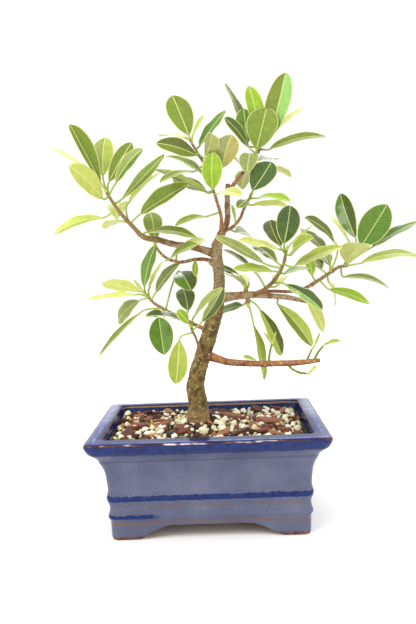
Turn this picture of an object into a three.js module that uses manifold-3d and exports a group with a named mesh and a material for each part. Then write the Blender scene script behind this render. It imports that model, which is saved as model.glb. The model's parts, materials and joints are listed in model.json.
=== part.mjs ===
// A small fig bonsai in a glazed, footed tray pot.
//
// Frame: millimetres, +Z up, -Y is the front. The model is laid out with the pot's middle at X = Y = 0
// and its feet on Z = 0, and is then moved sideways so that the whole object's box is centred.

import * as THREE from 'three';
import { mergeVertices } from 'three/addons/utils/BufferGeometryUtils.js';
import ManifoldModule from 'manifold-3d';

const wasm = await ManifoldModule();
wasm.setup();

// ---------------------------------------------------------------- driving dimensions

const GAP = 0.3; // clearance left between pieces that touch

const POT_WIDTH = 158;
const POT_DEPTH = 124;
const POT_HEIGHT = 68;
const POT_CORNER_RADIUS = 6;
const RIM_WIDTH = 9;
const FLOOR_UNDERSIDE = 10;
const FLOOR_TOP = 14;
const APRON_ARCH_HEIGHT = 9.2;
const DRAIN_RADIUS = 7;
const DRAIN_OFFSET = 34;
const SCREEN_SIZE = 24;
const SCREEN_THICKNESS = 1;

const SOIL_TOP = 62;
const SOIL_MOUND = 5; // how much higher the soil stands at the trunk
const TRUNK_BOTTOM = 34;

const LEAF_HALF_THICKNESS = 0.5;
const STALK_RADIUS = 0.7;
const STALK_END_MARGIN = 2.3; // how far from a limb's ends its leaf stalks stay

// Outside of the pot, from the top down: [height, inset from the rim's outermost size].
const POT_OUTSIDE = [
  [68, 1.3], [66, 0], [64.5, 0], [60.3, 1.9], [58.4, 4], [55.1, 7.2], [52.2, 8.4], [49.9, 9.6],
  [44.7, 11.3], [38.9, 12], [33.3, 12.3], [28.6, 11.4], [26, 12], [22.5, 13], [19.3, 12.8],
  [15.9, 12], [12.7, 13.3], [3.9, 13.4], [0, 14.9],
];

// Inside of the pot, from the floor up: [height, inset from the rim's outermost size].
const POT_INSIDE = [
  [FLOOR_TOP, 21], [18, 19.5], [45, 18], [56, 14], [64, 9.8], [67, RIM_WIDTH], [POT_HEIGHT, RIM_WIDTH + 1],
];

// ---------------------------------------------------------------- looks

const GLAZE = { color: 0x3f4f86, roughness: 0.2, metalness: 0 };
const SOIL = { color: 0x5a4632, roughness: 0.95, metalness: 0 };
const SCREEN = { color: 0x20242a, roughness: 0.6, metalness: 0 };
const BARK = { color: 0x6b5a34, roughness: 0.85, metalness: 0 };
const TWIG = { color: 0x8a5a38, roughness: 0.75, metalness: 0 };
const LEAF = { color: 0x7d9a3c, roughness: 0.4, metalness: 0 };
const YOUNG_LEAF = { color: 0xa3c93a, roughness: 0.4, metalness: 0 };

// ---------------------------------------------------------------- trunk and branches

// Each path point is [x, y, z, radius]. A limb starts on the middle line of the limb it grows from, or
// at that limb's end.
const WOOD = {
  trunk: {
    sides: 12,
    look: BARK,
    path: [
      [-6, 1, TRUNK_BOTTOM, 8], [-7, 1, 56, 9], [-7, 1, 68, 7.8], [-7.2, 0.5, 80, 6.6], [-8.4, 0, 90, 6.4],
      [-6.8, 0, 100, 5.9], [-3.5, 0, 110, 5.6], [0, 0.5, 119, 5.6], [3.6, 1, 130, 5.6], [6.8, 1, 140, 5.3],
      [9.2, 1, 150, 5], [10.8, 0.5, 160, 4], [11.4, 0, 170, 3.8], [10, 0, 181, 3.9], [10.6, 0, 191, 3.5],
    ],
  },
  leader: {
    from: ['trunk'],
    sides: 8,
    look: BARK,
    path: [
      [10.6, 0, 190, 2.9], [14, 0.4, 198, 2.8], [18.3, 0.8, 207, 2], [18.8, 1, 219, 1.9],
      [19.6, 1, 232, 1.5],
    ],
  },
  branch_left: {
    from: ['trunk'],
    lean: -8,
    sides: 8,
    look: BARK,
    path: [
      [10, 0, 184, 2.9], [3, -0.5, 186.5, 2.6], [-6, -1, 189.6, 2.3], [-19, -2, 192, 2.1],
      [-30, -3, 195.6, 2],
    ],
  },
  branch_left_low: {
    from: ['trunk'],
    lean: 4,
    sides: 8,
    look: TWIG,
    path: [
      [10.6, 1, 177.5, 1.5], [2, 3, 180.5, 1.3], [-6, 4.5, 180.6, 1.2], [-15.6, 5, 179.2, 1.1],
      [-22, 4.7, 180.6, 1],
    ],
  },
  branch_right: {
    from: ['trunk'],
    lean: 3,
    sides: 8,
    look: BARK,
    path: [
      [10, 0.8, 153, 3.6], [20, 0, 154, 2.9], [30, -0.5, 154.6, 2.5], [37, -0.5, 154.6, 2.3],
      [48, 0, 153.2, 1.9], [58, 1, 151.8, 1.7], [65, 1.5, 150.2, 1.5], [72, 2, 148.2, 1.3],
    ],
  },
  branch_right_far: {
    from: ['branch_right'],
    lean: 10,
    sides: 8,
    look: TWIG,
    path: [
      [38, 0.6, 155, 1.3], [46, 2.6, 156.4, 1.1], [63, 3.8, 155.4, 1.1], [70, 4, 156.8, 1.2],
      [76, 4.2, 159.4, 1.3],
    ],
  },
  branch_right_up: {
    from: ['branch_right', 'branch_right_far'],
    lean: -5,
    sides: 8,
    look: TWIG,
    path: [[34, -0.5, 154.6, 1.5], [42, -2, 157.6, 1.4]],
  },
  branch_bare: {
    from: ['trunk'],
    lean: -12,
    sides: 8,
    look: TWIG,
    path: [
      [-1, 0.3, 113.5, 3.4], [8, -2, 110.5, 2.9], [16, -3.5, 108.2, 2.4], [36, -6, 106.8, 2.2],
      [60, -7.6, 106.8, 2.1], [70, -8, 107.4, 1.9], [79, -8, 108.2, 1.4],
    ],
  },
  branch_low_left: {
    from: ['trunk'],
    lean: 8,
    sides: 8,
    look: TWIG,
    path: [[4, 1, 130.6, 1.6], [-3, 2.4, 132.6, 1.5], [-13, 4, 137.7, 1.2]],
  },
  twig_trunk_front: {
    from: ['trunk'],
    lean: -3,
    sides: 6,
    look: TWIG,
    path: [[-3.5, 0, 110, 0.8], [-3.2, -6.6, 112, 0.9], [-4, -7.6, 116.5, 0.9], [-4.8, -8, 121, 0.9]],
  },
  twig_crown_left: {
    from: ['trunk', 'leader'],
    lean: -6,
    sides: 6,
    look: TWIG,
    path: [[10.6, 0, 189, 1.5], [13, -3.4, 198, 1.3], [14.2, -4, 209, 1.1], [11.6, -4, 220, 1]],
  },
  twig_crown_right: {
    from: ['leader'],
    lean: 7,
    sides: 6,
    look: TWIG,
    path: [[19, 1, 226.6, 1.2], [24, 1.4, 232, 1.3], [32, 2, 241, 1.2]],
  },
  twig_inner_right: {
    from: ['leader'],
    lean: -3,
    sides: 6,
    look: TWIG,
    path: [[14.4, 0.4, 199, 1], [22, -2.4, 202.4, 1.1], [27.2, -3.6, 208, 1], [29.6, -4, 213.4, 0.9]],
  },
};

// ---------------------------------------------------------------- leaves

// A shoot is a leafy stretch of wood with its leaves and their stalks. Its path goes on from the wood
// it grows from. Each leaf is [base x, y, z, tip x, y, z, width, facing x, y, z, arch]: the facing
// vector points roughly out of the upper side, and the arch is how far the blade's middle stands above
// the straight line from base to tip. A shoot without a path is one leaf standing on the wood itself.
const SHOOTS = {
  shoot_left_middle: {
    from: ['branch_left'],
    lean: -8,
    path: [[-30, -3, 195.6, 2], [-40, -4, 198, 1.8], [-47, -5, 205.5, 1.5], [-51, -5.5, 210, 1.3]],
    leaves: [
      [-50, 0, 222, -29, 17, 245, 11, -5, -4, 5, 1],
      [-41, -5, 214, -7, -15, 233, 15, -3, -8, 5, 1],
      [-59, 2, 212, -60, 34, 227, 15, 0, -5, 8, 2],
      [-51, 2, 209, -73, 30, 207, 10, 0, 2, 9, 2],
      [-38, -5, 201, -3, -13, 197, 13, 0, -4, 8, 3],
    ],
  },
  shoot_left_end: {
    from: ['shoot_left_middle'],
    lean: -6,
    path: [[-51, -5.5, 210, 1.3], [-55, -6, 215, 1.2], [-60, -6.5, 223, 1.1], [-63.5, -7, 229, 1]],
    leaves: [
      [-67, -8, 236, -85, -10, 276, 14, 6, -7, 3, 0],
      [-66, -4, 241, -67, 20, 272, 16, 0, -8, 5, 1],
      [-72, -3, 241, -105, 15, 266, 9, 4, -3, 7, 1],
      [-66, -10, 225, -84, -27, 246, 17, 2, -8, 5, 1],
      [-62, -4, 237, -46, 7, 265, 12, 4, -7, 3, 0],
      [-57, -9, 235, -38, -21, 256, 12, 5, -4, 6, 1],
      [-66, -11, 212, -99, -18, 203, 11, 0, -6, 8, 3],
      [-53, -6, 225, -24, -2, 255, 12, -6, -8, 4, 0],
    ],
  },
  shoot_left_low: {
    from: ['branch_left_low'],
    lean: 4,
    path: [[-22, 4.7, 180.6, 1], [-27, 4.4, 183.6, 1], [-31, 4, 188, 0.9], [-32.6, 4.4, 191, 0.8]],
    leaves: [
      [-33, 6, 195, -38, 30, 218, 14, 0, -7, 6, 1],
      [-22, -16, 182, -3, -35, 191.5, 12.5, -3, -6, 8, 1],
    ],
  },
  leaf_left_low_young: {
    from: ['branch_left_low'],
    young: true,
    leaves: [[-5, 1, 180, -5, -3, 169, 4.5, 0, -9, 2, 0]],
  },
  leaf_left_low_back: {
    from: ['branch_left_low'],
    leaves: [[-17, 9, 186, 2, 30, 196, 12, -1, -6, 7, 1]],
  },
  leaf_crown_left_low: {
    from: ['twig_crown_left'],
    leaves: [[4, -6, 210, -17, -17, 205, 8, 0, -5, 8, 2]],
  },
  shoot_crown_left_low: {
    from: ['twig_crown_left'],
    lean: -8,
    path: [[11.6, -4, 220, 1], [9, -3.6, 230, 0.9], [5.6, -3.2, 243, 0.9], [0.6, -3, 252, 0.9]],
    leaves: [
      [16, -6, 243, 23, -27, 262, 17, 0, 7, 5, 0],
      [9, -10, 228, 10, -21, 251, 14, 1, -8, 3, 0],
      [3, 1, 240, -23, 17, 257, 12, 3, -4, 8, 1],
      [5, -4, 227, -30, -9, 245, 12, 3, -5, 7, 1],
      [5, 2, 227, -19, 24, 240, 13, 2, -7, 6, 1],
      [11, -8, 225, 27, -30, 222, 12, 0, -6, 8, 2],
      [-3, -7, 241, -25, -27, 233, 10, 0, -4, 9, 2],
    ],
  },
  shoot_crown_left_top: {
    from: ['shoot_crown_left_low'],
    lean: -3,
    path: [[0.6, -3, 252, 0.9], [-3.4, -3, 259.4, 0.9], [-5, -3, 263, 0.8]],
    leaves: [
      [-6, -3, 266, -17, 12, 297, 18, 1, -8, 3, 0],
      [-1, -5, 252, -27, -13, 261, 15, 1, -8, 5, 1],
      [-8, 1, 265, -28, 25, 272, 10, 1, -4, 9, 1],
      [-3, -5, 266, 4, -9, 278, 4, -6, -6, 2, 0],
      [1, 0, 259, 20, 16, 286, 12, -6, -7, 4, 0],
      [5, -6, 250, 10, -25, 263, 12, 4, 0, 6, 0],
    ],
  },
  shoot_crown_right_low: {
    from: ['twig_crown_right'],
    lean: 5,
    path: [[32, 2, 241, 1.2], [39, 2.6, 249.4, 1.1]],
    leaves: [
      [42, 5, 248, 56, 30, 252, 13, 0, -5, 8, 1],
      [46, 10, 243, 67, 34, 240, 9, -1, 0, 9, 2],
      [36, -5, 251, 32, -29, 237, 13, 0, -6, 8, 3],
      [33, 5, 241, 31, 31, 232, 12, 0, -3, 9, 2],
      [30, 7, 245, 20, 23, 256, 8, 5, 0, 5, 1],
    ],
  },
  shoot_crown_right_top: {
    from: ['shoot_crown_right_low'],
    lean: 3,
    path: [[39, 2.6, 249.4, 1.1], [42.6, 3, 255, 1], [43.6, 3.2, 258.4, 0.9]],
    leaves: [
      [50, 8, 263, 63, 14, 309, 19, -4, -8, 2, 0],
      [44, 10, 268, 38, 21, 303, 13, 2, -8, 3, 0],
      [35, 16, 268, 22, 31, 308, 12, 7, -5, 3, 0],
      [40, -2, 254, 49, 12, 285, 22, 0, -9, 3, 0],
      [34, 4, 259, 33, 17, 286, 14, 0, -8, 4, 0],
      [35, -1, 256, 20, -20, 273, 12, 5, -6, 3, 1],
      [53, 15, 268, 78, 36, 290, 9, -4, -4, 5, 0],
      [49, -1, 254, 89, 4, 263, 13, 0, -5, 8, 3],
    ],
  },
  leaf_trunk_right: {
    from: ['leader', 'trunk'],
    leaves: [[24, 4, 199, 36, 28, 197, 14, 0, -8, 5, 1]],
  },
  leaf_inner_right: {
    from: ['twig_inner_right'],
    young: true,
    leaves: [[24, -5, 206, 22, -8, 217, 5, 8, -4, 1, 0]],
  },
  shoot_inner_right: {
    from: ['twig_inner_right'],
    lean: -4,
    path: [[29.6, -4, 213.4, 0.9], [32.4, -4.6, 218.4, 0.9], [35, -5, 223, 0.8]],
    leaves: [
      [36, -12, 226, 50, -2, 246, 18, -2, -9, 3, 0],
      [38, -8, 221, 59, -27, 218, 11, 0, -4, 8, 2],
      [32, -7, 220, 25, -24, 214, 8, 4, 0, 9, 1],
      [36, 0, 217, 70, 12, 212, 11, 0, -5, 8, 3],
    ],
  },
  shoot_right_up_low: {
    from: ['branch_right_up'],
    lean: -7,
    path: [[42, -2, 157.6, 1.4], [49, -2.6, 163.6, 1.3]],
    leaves: [
      [57, -5, 161.5, 80.5, -17, 145, 14, 4, -6, 6, 1],
      [52, 7, 160, 60, 34, 168, 11, 0, -6, 7, 1],
      [36, 6, 171, 15, 24, 188, 9, 5, -4, 6, 1],
    ],
  },
  shoot_right_up_middle: {
    from: ['shoot_right_up_low'],
    lean: -8,
    path: [[49, -2.6, 163.6, 1.3], [54, -3, 171, 1.2], [57, -3, 178, 1.1]],
    leaves: [
      [52, 1, 177, 34, 17, 193, 13, 3, -5, 6, 1],
      [42, -6, 177, 10, -12, 197, 11, 4, -6, 6, 1],
      [49, -6, 171, 21, -15, 174, 12, 0, -5, 8, 1],
      [63, -7, 174, 94, -18, 187, 15, -3, -4, 7, 1],
      [57, 0, 169, 77, 21, 172, 10, -1, -4, 8, 1],
    ],
  },
  shoot_right_up_top: {
    from: ['shoot_right_up_middle'],
    lean: -4,
    path: [[57, -3, 178, 1.1], [58.4, -3, 185, 1]],
    leaves: [
      [57, -3, 190, 64, 15, 217, 17, 0, -8, 3, 0],
      [55, 3, 188, 50, 28, 209, 14, 1, -7, 5, 0],
      [61, -8, 182, 74, -27, 193, 13, -3, -6, 7, 1],
      [62, -4, 190, 77, -2, 202, 3, -5, -4, 5, 0],
      [54, -7, 186, 26, -21, 194, 11, 0, -5, 8, 1],
    ],
  },
  shoot_right_inner_top: {
    from: ['branch_right'],
    path: [[29.6, -0.5, 154.6, 1.6], [29.6, -0.5, 160, 1.3]],
    leaves: [
      [28, -5, 162, 16, -26, 171, 12, 2, -1, 8, 1],
      [28, -1, 165, 18, 10, 173, 6, 6, -4, 5, 0],
      [32, 5, 163, 23, 28, 171, 10, 4, -3, 8, 1],
      [26, 8, 168, 4, 21, 178, 9, 1, -4, 8, 1],
    ],
  },
  shoot_right_inner_low: {
    from: ['branch_right'],
    path: [[30.6, -0.5, 154.6, 1.7], [30.8, -0.4, 149.4, 1.5]],
    leaves: [
      [27, 5, 147, 7, 28, 140, 12, -1, -6, 7, 1],
      [39, 2, 144, 54, 5, 110, 13, 6, -6, 2, 1],
      [34.5, 5, 133, 42, 5, 93, 12, 8, -5, 1, 1],
    ],
  },
  leaf_right_outer: {
    from: ['branch_right'],
    leaves: [[52, 2, 147, 75, -1, 117, 13, 5, -7, 2, 1]],
  },
  leaf_far_right_low: {
    from: ['branch_right_far'],
    leaves: [[73, 9, 149, 89, 25, 124, 13, 4, -7, 4, 1]],
  },
  shoot_far_right_inner: {
    from: ['branch_right_far'],
    lean: 8,
    path: [[76, 4.2, 159.4, 1.3], [86.5, 5, 165.5, 1.2], [91, 5.3, 168.2, 1.2]],
    leaves: [
      [77, 5, 166, 75, 12, 182, 8, 1, -7, 4, 0],
      [84, 9, 170, 77, 33, 180, 12, 2, -7, 6, 1],
      [88, 3, 181, 72, 26, 200, 13, 4, -6, 5, 1],
      [93, 0, 188, 71, -16, 206, 12, 5, -6, 5, 2],
      [90, 10, 173, 88, 38, 183, 12, 0, -6, 8, 1],
      [88, 0, 156, 113, -13, 146, 11, 1, -5, 7, 2],
      [89, 9, 161, 98, 28, 143, 9, 7, -5, 3, 1],
    ],
  },
  shoot_far_right_end: {
    from: ['shoot_far_right_inner'],
    lean: 5,
    path: [[91, 5.3, 168.2, 1.2], [96, 5.6, 171, 1.1], [101, 6, 171.6, 1]],
    leaves: [
      [109, 10, 191, 101, 24, 224, 14, -5, -7, 3, 0],
      [112, 6, 185, 133, 15, 214, 21, -1, -9, 3, 0],
      [105, 16, 190, 97, 40, 210, 8, 5, -4, 4, 0],
      [121, 13, 184, 158, 25, 203, 12, -4, -4, 6, 1],
      [101, 2, 174, 107, -21, 187, 20, 0, 5, 8, 1],
      [112, 8, 173, 157, 16, 178, 13, -1, -4, 8, 4],
      [99, 5, 164, 134, 16, 154, 11, 0, -4, 8, 4],
    ],
  },
  leaf_bare_inner: {
    from: ['branch_bare'],
    young: true,
    leaves: [[34, -7, 110, 26, -9, 113, 5, 0, -5, 8, 0]],
  },
  shoot_bare_middle: {
    from: ['branch_bare'],
    young: true,
    path: [[43.6, -6.6, 107, 0.9], [44.4, -7, 114, 0.8], [46, -8, 120, 0.8]],
    leaves: [
      [45, -8, 122, 41, -10, 129, 2.5, 6, -5, 2, 0],
      [47, -8, 122, 49, -8, 129, 2, -6, -5, 2, 0],
    ],
  },
  shoot_bare_under: {
    from: ['branch_bare'],
    young: true,
    path: [[56, -7.6, 106.6, 0.9], [60, -8.6, 102.4, 0.8], [65, -9.4, 100, 0.8], [69, -10, 99.4, 0.7]],
    leaves: [[71, -10, 100, 76, -11, 105, 3, -3, -7, 5, -1]],
  },
  shoot_bare_outer: {
    from: ['branch_bare'],
    young: true,
    path: [[69.6, -8, 107.4, 0.9], [73.4, -7, 115, 0.7]],
    leaves: [[75, -7, 117, 80, -5, 127, 2.5, -6, -5, 3, 0]],
  },
  shoot_bare_end: {
    from: ['branch_bare'],
    young: true,
    path: [[74.6, -8, 107.8, 1], [78, -8.6, 114, 0.9], [81, -9, 117.6, 0.8]],
    leaves: [[83, -9, 119, 93, -11, 122, 4, -2, -5, 7, 1]],
  },
  shoot_low_left_middle: {
    from: ['branch_low_left'],
    lean: 12,
    path: [[-13, 4, 137.7, 1.2], [-22, 5, 142.2, 1.1], [-31, 6, 147, 1.1]],
    leaves: [
      [-16, 3, 172, -8, -19, 160, 16, 0, -8, 5, 3],
      [-46, 1, 144, -77, 6, 114, 10, -6, -4, 6, 1],
      [-32, -3, 141, -28, -20, 117, 17, 0, -8, 4, 1],
      [-17, -3, 139, -39, -20, 144, 13, 0, -5, 8, 2],
      [-12, 8, 144, -16, 30, 160, 14, 0, -7, 6, 0],
    ],
  },
  shoot_low_left_end: {
    from: ['shoot_low_left_middle'],
    lean: 8,
    path: [[-31, 6, 147, 1.1], [-36, 6, 150.6, 1], [-40, 6, 155.4, 1]],
    leaves: [
      [-42, 5, 162, -34, 18, 192, 12, -5, -7, 3, 1],
      [-39, 9, 161, -29, 31, 181, 9, -6, -2, 6, 1],
      [-34, 2, 158, -16, -15, 178, 12, -6, -6, 4, 2],
      [-47, 6, 157, -86, 14, 155, 10, 0, -3, 9, 1],
      [-46, 10, 159, -76, 31, 166, 14, 1, -6, 7, 1],
      [-43, 4, 159, -49, 2, 168, 2.5, 5, -5, 3, 0],
      [-47, 9, 152, -67, 30, 136, 14, -3, -7, 4, 1],
    ],
  },
  shoot_trunk_front: {
    from: ['twig_trunk_front'],
    lean: -8,
    path: [[-4.8, -8, 121, 0.9], [-6.6, -8, 127, 0.9], [-9.6, -8, 134, 0.9]],
    leaves: [
      [-18, -9, 126, -21, -18, 97, 14, 1, -8, 3, 1],
      [-11, -9, 137, -18, -14, 147, 8, 4, -7, 3, 0],
      [-7, -9, 142, 12, -26, 162, 11, -5, -4, 6, 1],
      [-2, -10, 138, 14, -14, 161, 11, 6, -5, 3, 0],
    ],
  },
};

// ---------------------------------------------------------------- leaning out

// The limbs above are laid out near one upright plane. Each then leans out of it by its lean, in
// millimetres at its far end, towards the back where that is above zero, and carries along all that
// grows on it. Things move straight away from VIEWPOINT or towards it and grow or shrink to match, so
// the tree's outline from there stays as it is laid out.
const VIEWPOINT = new THREE.Vector3(10.6, -483, 172.8);

function corner(numbers) {
  return new THREE.Vector3(...numbers.slice(0, 3));
}

// How far a limb leans at its place nearest to a point.
function leanNear({ path, leans }, point) {
  let nearest = Infinity;
  let lean = 0;
  for (let i = 0; i + 1 < path.length; i++) {
    const segment = new THREE.Line3(corner(path[i]), corner(path[i + 1]));
    const share = segment.closestPointToPointParameter(point, true);
    const distance = segment.at(share, new THREE.Vector3()).distanceTo(point);
    if (distance < nearest) {
      nearest = distance;
      lean = THREE.MathUtils.lerp(leans[i], leans[i + 1], share);
    }
  }
  return lean;
}

// How far a limb leans at each point of its path: what its parent leans there, and more towards its end.
function leansAlong({ path, lean = 0 }, parent) {
  const start = parent ? leanNear(parent, corner(path[0])) : 0;
  const lengths = [0];
  for (let i = 1; i < path.length; i++) {
    lengths.push(lengths[i - 1] + corner(path[i]).distanceTo(corner(path[i - 1])));
  }
  return lengths.map((length) => start + (lean * length) / lengths.at(-1));
}

// How much larger a thing gets when it leans back from the height y.
function growth(y, lean) {
  return (y + lean - VIEWPOINT.y) / (y - VIEWPOINT.y);
}

function leanedPoint(numbers, lean) {
  const share = growth(numbers[1], lean);
  return corner(numbers).sub(VIEWPOINT).multiplyScalar(share).add(VIEWPOINT).toArray();
}

function leanedLeaf(leaf, carrier) {
  const lean = leanNear(carrier, corner(leaf));
  const [width, ...rest] = leaf.slice(6);
  const tip = leanedPoint(leaf.slice(3), lean);
  return [...leanedPoint(leaf, lean), ...tip, width * growth(leaf[1], lean), ...rest];
}

function leanedLimbs(limbs) {
  const flat = {};
  const leaned = {};
  for (const [name, limb] of Object.entries(limbs)) {
    const parent = flat[limb.from?.[0]];
    const { path, leaves } = limb;
    flat[name] = path ? { path, leans: leansAlong(limb, parent) } : parent;
    leaned[name] = {
      ...limb,
      path: path?.map((point, i) => {
        const lean = flat[name].leans[i];
        return [...leanedPoint(point, lean), point[3] * growth(point[1], lean)];
      }),
      leaves: leaves?.map((leaf) => leanedLeaf(leaf, flat[name])),
    };
  }
  return leaned;
}

// Every limb as it stands.
const LIMBS = leanedLimbs({ ...WOOD, ...SHOOTS });

// ---------------------------------------------------------------- solids

// The closed surface through equal rings of points, with a flat fan over each end ring. An end ring
// may be a single point.
function loft(rings) {
  const positions = [];
  const starts = [];
  for (const ring of rings) {
    starts.push(positions.length / 3);
    for (const point of ring) {
      positions.push(point.x, point.y, point.z);
    }
  }
  const triangles = [];
  for (let i = 0; i + 1 < rings.length; i++) {
    const low = starts[i];
    const high = starts[i + 1];
    const lowCount = rings[i].length;
    const highCount = rings[i + 1].length;
    const count = Math.max(lowCount, highCount);
    for (let j = 0; j < count; j++) {
      const next = (j + 1) % count;
      if (lowCount > 1) {
        triangles.push(low + j, low + next, high + (highCount > 1 ? next : 0));
      }
      if (highCount > 1) {
        triangles.push(low + (lowCount > 1 ? j : 0), high + next, high + j);
      }
    }
  }
  for (let j = 1; j + 1 < rings[0].length; j++) {
    triangles.push(starts[0], starts[0] + j + 1, starts[0] + j);
  }
  const last = rings.length - 1;
  for (let j = 1; j + 1 < rings[last].length; j++) {
    triangles.push(starts[last], starts[last] + j, starts[last] + j + 1);
  }
  const geometry = new THREE.BufferGeometry();
  geometry.setAttribute('position', new THREE.Float32BufferAttribute(positions, 3));
  geometry.setIndex(triangles);
  return geometry;
}

function signedVolume(geometry) {
  const position = geometry.getAttribute('position');
  const index = geometry.getIndex();
  const corners = [new THREE.Vector3(), new THREE.Vector3(), new THREE.Vector3()];
  let volume = 0;
  for (let i = 0; i < index.count; i += 3) {
    corners.forEach((corner, k) => corner.fromBufferAttribute(position, index.getX(i + k)));
    volume += corners[0].dot(corners[1].clone().cross(corners[2])) / 6;
  }
  return volume;
}

function toSolid(geometry) {
  geometry.deleteAttribute('normal');
  geometry.deleteAttribute('uv');
  const merged = mergeVertices(geometry, 1e-5);
  const order = signedVolume(merged) < 0 ? [0, 2, 1] : [0, 1, 2];
  const index = merged.getIndex().array;
  const triVerts = new Uint32Array(index.length);
  for (let i = 0; i < index.length; i += 3) {
    order.forEach((from, k) => { triVerts[i + k] = index[i + from]; });
  }
  const vertProperties = new Float32Array(merged.getAttribute('position').array);
  return new wasm.Manifold(new wasm.Mesh({ numProp: 3, vertProperties, triVerts }));
}

function toGeometry(solid) {
  const { vertProperties, triVerts } = solid.getMesh();
  const geometry = new THREE.BufferGeometry();
  geometry.setAttribute('position', new THREE.Float32BufferAttribute(vertProperties, 3));
  geometry.setIndex(new THREE.Uint32BufferAttribute(triVerts, 1));
  geometry.computeVertexNormals();
  return geometry;
}

function piece(name, solid, look) {
  const mesh = new THREE.Mesh(toGeometry(solid), new THREE.MeshStandardMaterial(look));
  mesh.name = name;
  return mesh;
}

// ---------------------------------------------------------------- pot and soil

function roundedRectangle(halfX, halfY, radius, z, cornerSteps = 3) {
  const points = [];
  const corners = [[1, 1], [-1, 1], [-1, -1], [1, -1]];
  corners.forEach(([signX, signY], corner) => {
    for (let step = 0; step <= cornerSteps; step++) {
      const angle = (corner + step / cornerSteps) * Math.PI / 2;
      const x = signX * (halfX - radius) + radius * Math.cos(angle);
      const y = signY * (halfY - radius) + radius * Math.sin(angle);
      points.push(new THREE.Vector3(x, y, z));
    }
  });
  return points;
}

// The pot's horizontal outline at one height, drawn in from the rim by the inset.
function potOutline([z, inset], grow = 0) {
  const radius = Math.max(2.5, POT_CORNER_RADIUS - 0.1 * inset);
  return roundedRectangle(POT_WIDTH / 2 - inset + grow, POT_DEPTH / 2 - inset + grow, radius, z);
}

// How far the pot's inside is drawn in from the rim's outermost size at one height.
function insideInset(z) {
  const above = POT_INSIDE.findIndex(([height]) => height >= z);
  const [lowZ, lowInset] = POT_INSIDE[Math.max(above - 1, 0)];
  const [highZ, highInset] = POT_INSIDE[Math.max(above, 1)];
  return THREE.MathUtils.mapLinear(z, lowZ, highZ, lowInset, highInset);
}

// The opening between two feet, seen from the side: flat in the middle and swept down to each foot.
function apronArch(footDistance, depth) {
  const inner = footDistance - 14;
  const outer = footDistance + 10;
  const shape = new THREE.Shape();
  shape.moveTo(-outer, -1);
  shape.lineTo(outer, -1);
  shape.lineTo(outer, 0);
  shape.quadraticCurveTo(footDistance, APRON_ARCH_HEIGHT, inner, APRON_ARCH_HEIGHT);
  shape.lineTo(-inner, APRON_ARCH_HEIGHT);
  shape.quadraticCurveTo(-footDistance, APRON_ARCH_HEIGHT, -outer, 0);
  shape.closePath();
  const geometry = new THREE.ExtrudeGeometry(shape, { depth, bevelEnabled: false, curveSegments: 4 });
  geometry.translate(0, 0, -depth / 2);
  geometry.rotateX(Math.PI / 2);
  return geometry;
}

function potSolid() {
  const skirtInside = [[0, 20], [6, 19], [FLOOR_UNDERSIDE, 23]];
  const rings = [...POT_INSIDE, ...POT_OUTSIDE, ...skirtInside].map((point) => potOutline(point));
  let pot = toSolid(loft(rings));
  const frontArch = apronArch(42, POT_DEPTH);
  const sideArch = apronArch(25, POT_WIDTH).rotateZ(Math.PI / 2);
  pot = pot.subtract(toSolid(frontArch)).subtract(toSolid(sideArch));
  for (const side of [-1, 1]) {
    const drain = new THREE.CylinderGeometry(DRAIN_RADIUS, DRAIN_RADIUS, POT_HEIGHT / 2, 16);
    drain.rotateX(Math.PI / 2);
    drain.translate(side * DRAIN_OFFSET, 0, POT_HEIGHT / 4 - 5);
    pot = pot.subtract(toSolid(drain));
  }
  return pot;
}

function screenSolid(side) {
  const plate = new THREE.BoxGeometry(SCREEN_SIZE, SCREEN_SIZE, SCREEN_THICKNESS);
  plate.translate(side * DRAIN_OFFSET, 0, FLOOR_TOP + GAP + SCREEN_THICKNESS / 2);
  return toSolid(plate);
}

// The soil fills the pot up to its flat top, stands a little higher around the trunk, and is moulded
// around the trunk and the two screens.
function soilSolid() {
  const heights = [FLOOR_TOP + GAP, 18, 45, 56, SOIL_TOP];
  const rings = heights.map((z) => potOutline([z, insideInset(z) + GAP]));
  const trunkX = WOOD.trunk.path[2][0];
  for (const [share, rise] of [[0.6, 0.15], [0.3, 0.6], [0.12, 1]]) {
    const ring = potOutline([SOIL_TOP + rise * SOIL_MOUND, insideInset(SOIL_TOP)]);
    rings.push(ring.map(({ x, y, z }) => new THREE.Vector3(x * share + trunkX * (1 - share), y * share, z)));
  }
  const screens = [-1, 1].map((side) => {
    const size = SCREEN_SIZE + 2 * GAP;
    const block = new THREE.BoxGeometry(size, size, 2 * (SCREEN_THICKNESS + 2 * GAP));
    block.translate(side * DRAIN_OFFSET, 0, FLOOR_TOP);
    return toSolid(block);
  });
  return toSolid(loft(rings)).subtract(screens[0]).subtract(screens[1]).subtract(limb(WOOD.trunk, GAP));
}

// ---------------------------------------------------------------- wood

// Rings of a limb at right angles to a smooth curve through its path points.
function limb({ path, sides = 6 }, grow = 0) {
  const points = path.map(([x, y, z]) => new THREE.Vector3(x, y, z));
  const curve = new THREE.CatmullRomCurve3(points, false, 'centripetal');
  const rings = path.map((entry, i) => {
    const t = i / (path.length - 1);
    const forward = curve.getTangent(t);
    const across = new THREE.Vector3(0, 1, 0).cross(forward).normalize();
    const up = forward.clone().cross(across);
    const lengthening = { 0: -grow, [path.length - 1]: grow }[i] ?? 0;
    const centre = points[i].clone().addScaledVector(forward, lengthening);
    const ring = [];
    for (let side = 0; side < sides; side++) {
      const angle = 2 * Math.PI * side / sides;
      const radius = entry[3] + grow;
      const offset = across.clone().multiplyScalar(radius * Math.cos(angle));
      ring.push(centre.clone().add(offset).addScaledVector(up, radius * Math.sin(angle)));
    }
    return ring;
  });
  return toSolid(loft(rings));
}

function cutFree(solid, from = []) {
  return from.reduce((rest, name) => rest.subtract(limb(LIMBS[name], GAP)), solid);
}

// ---------------------------------------------------------------- leaves

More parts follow.
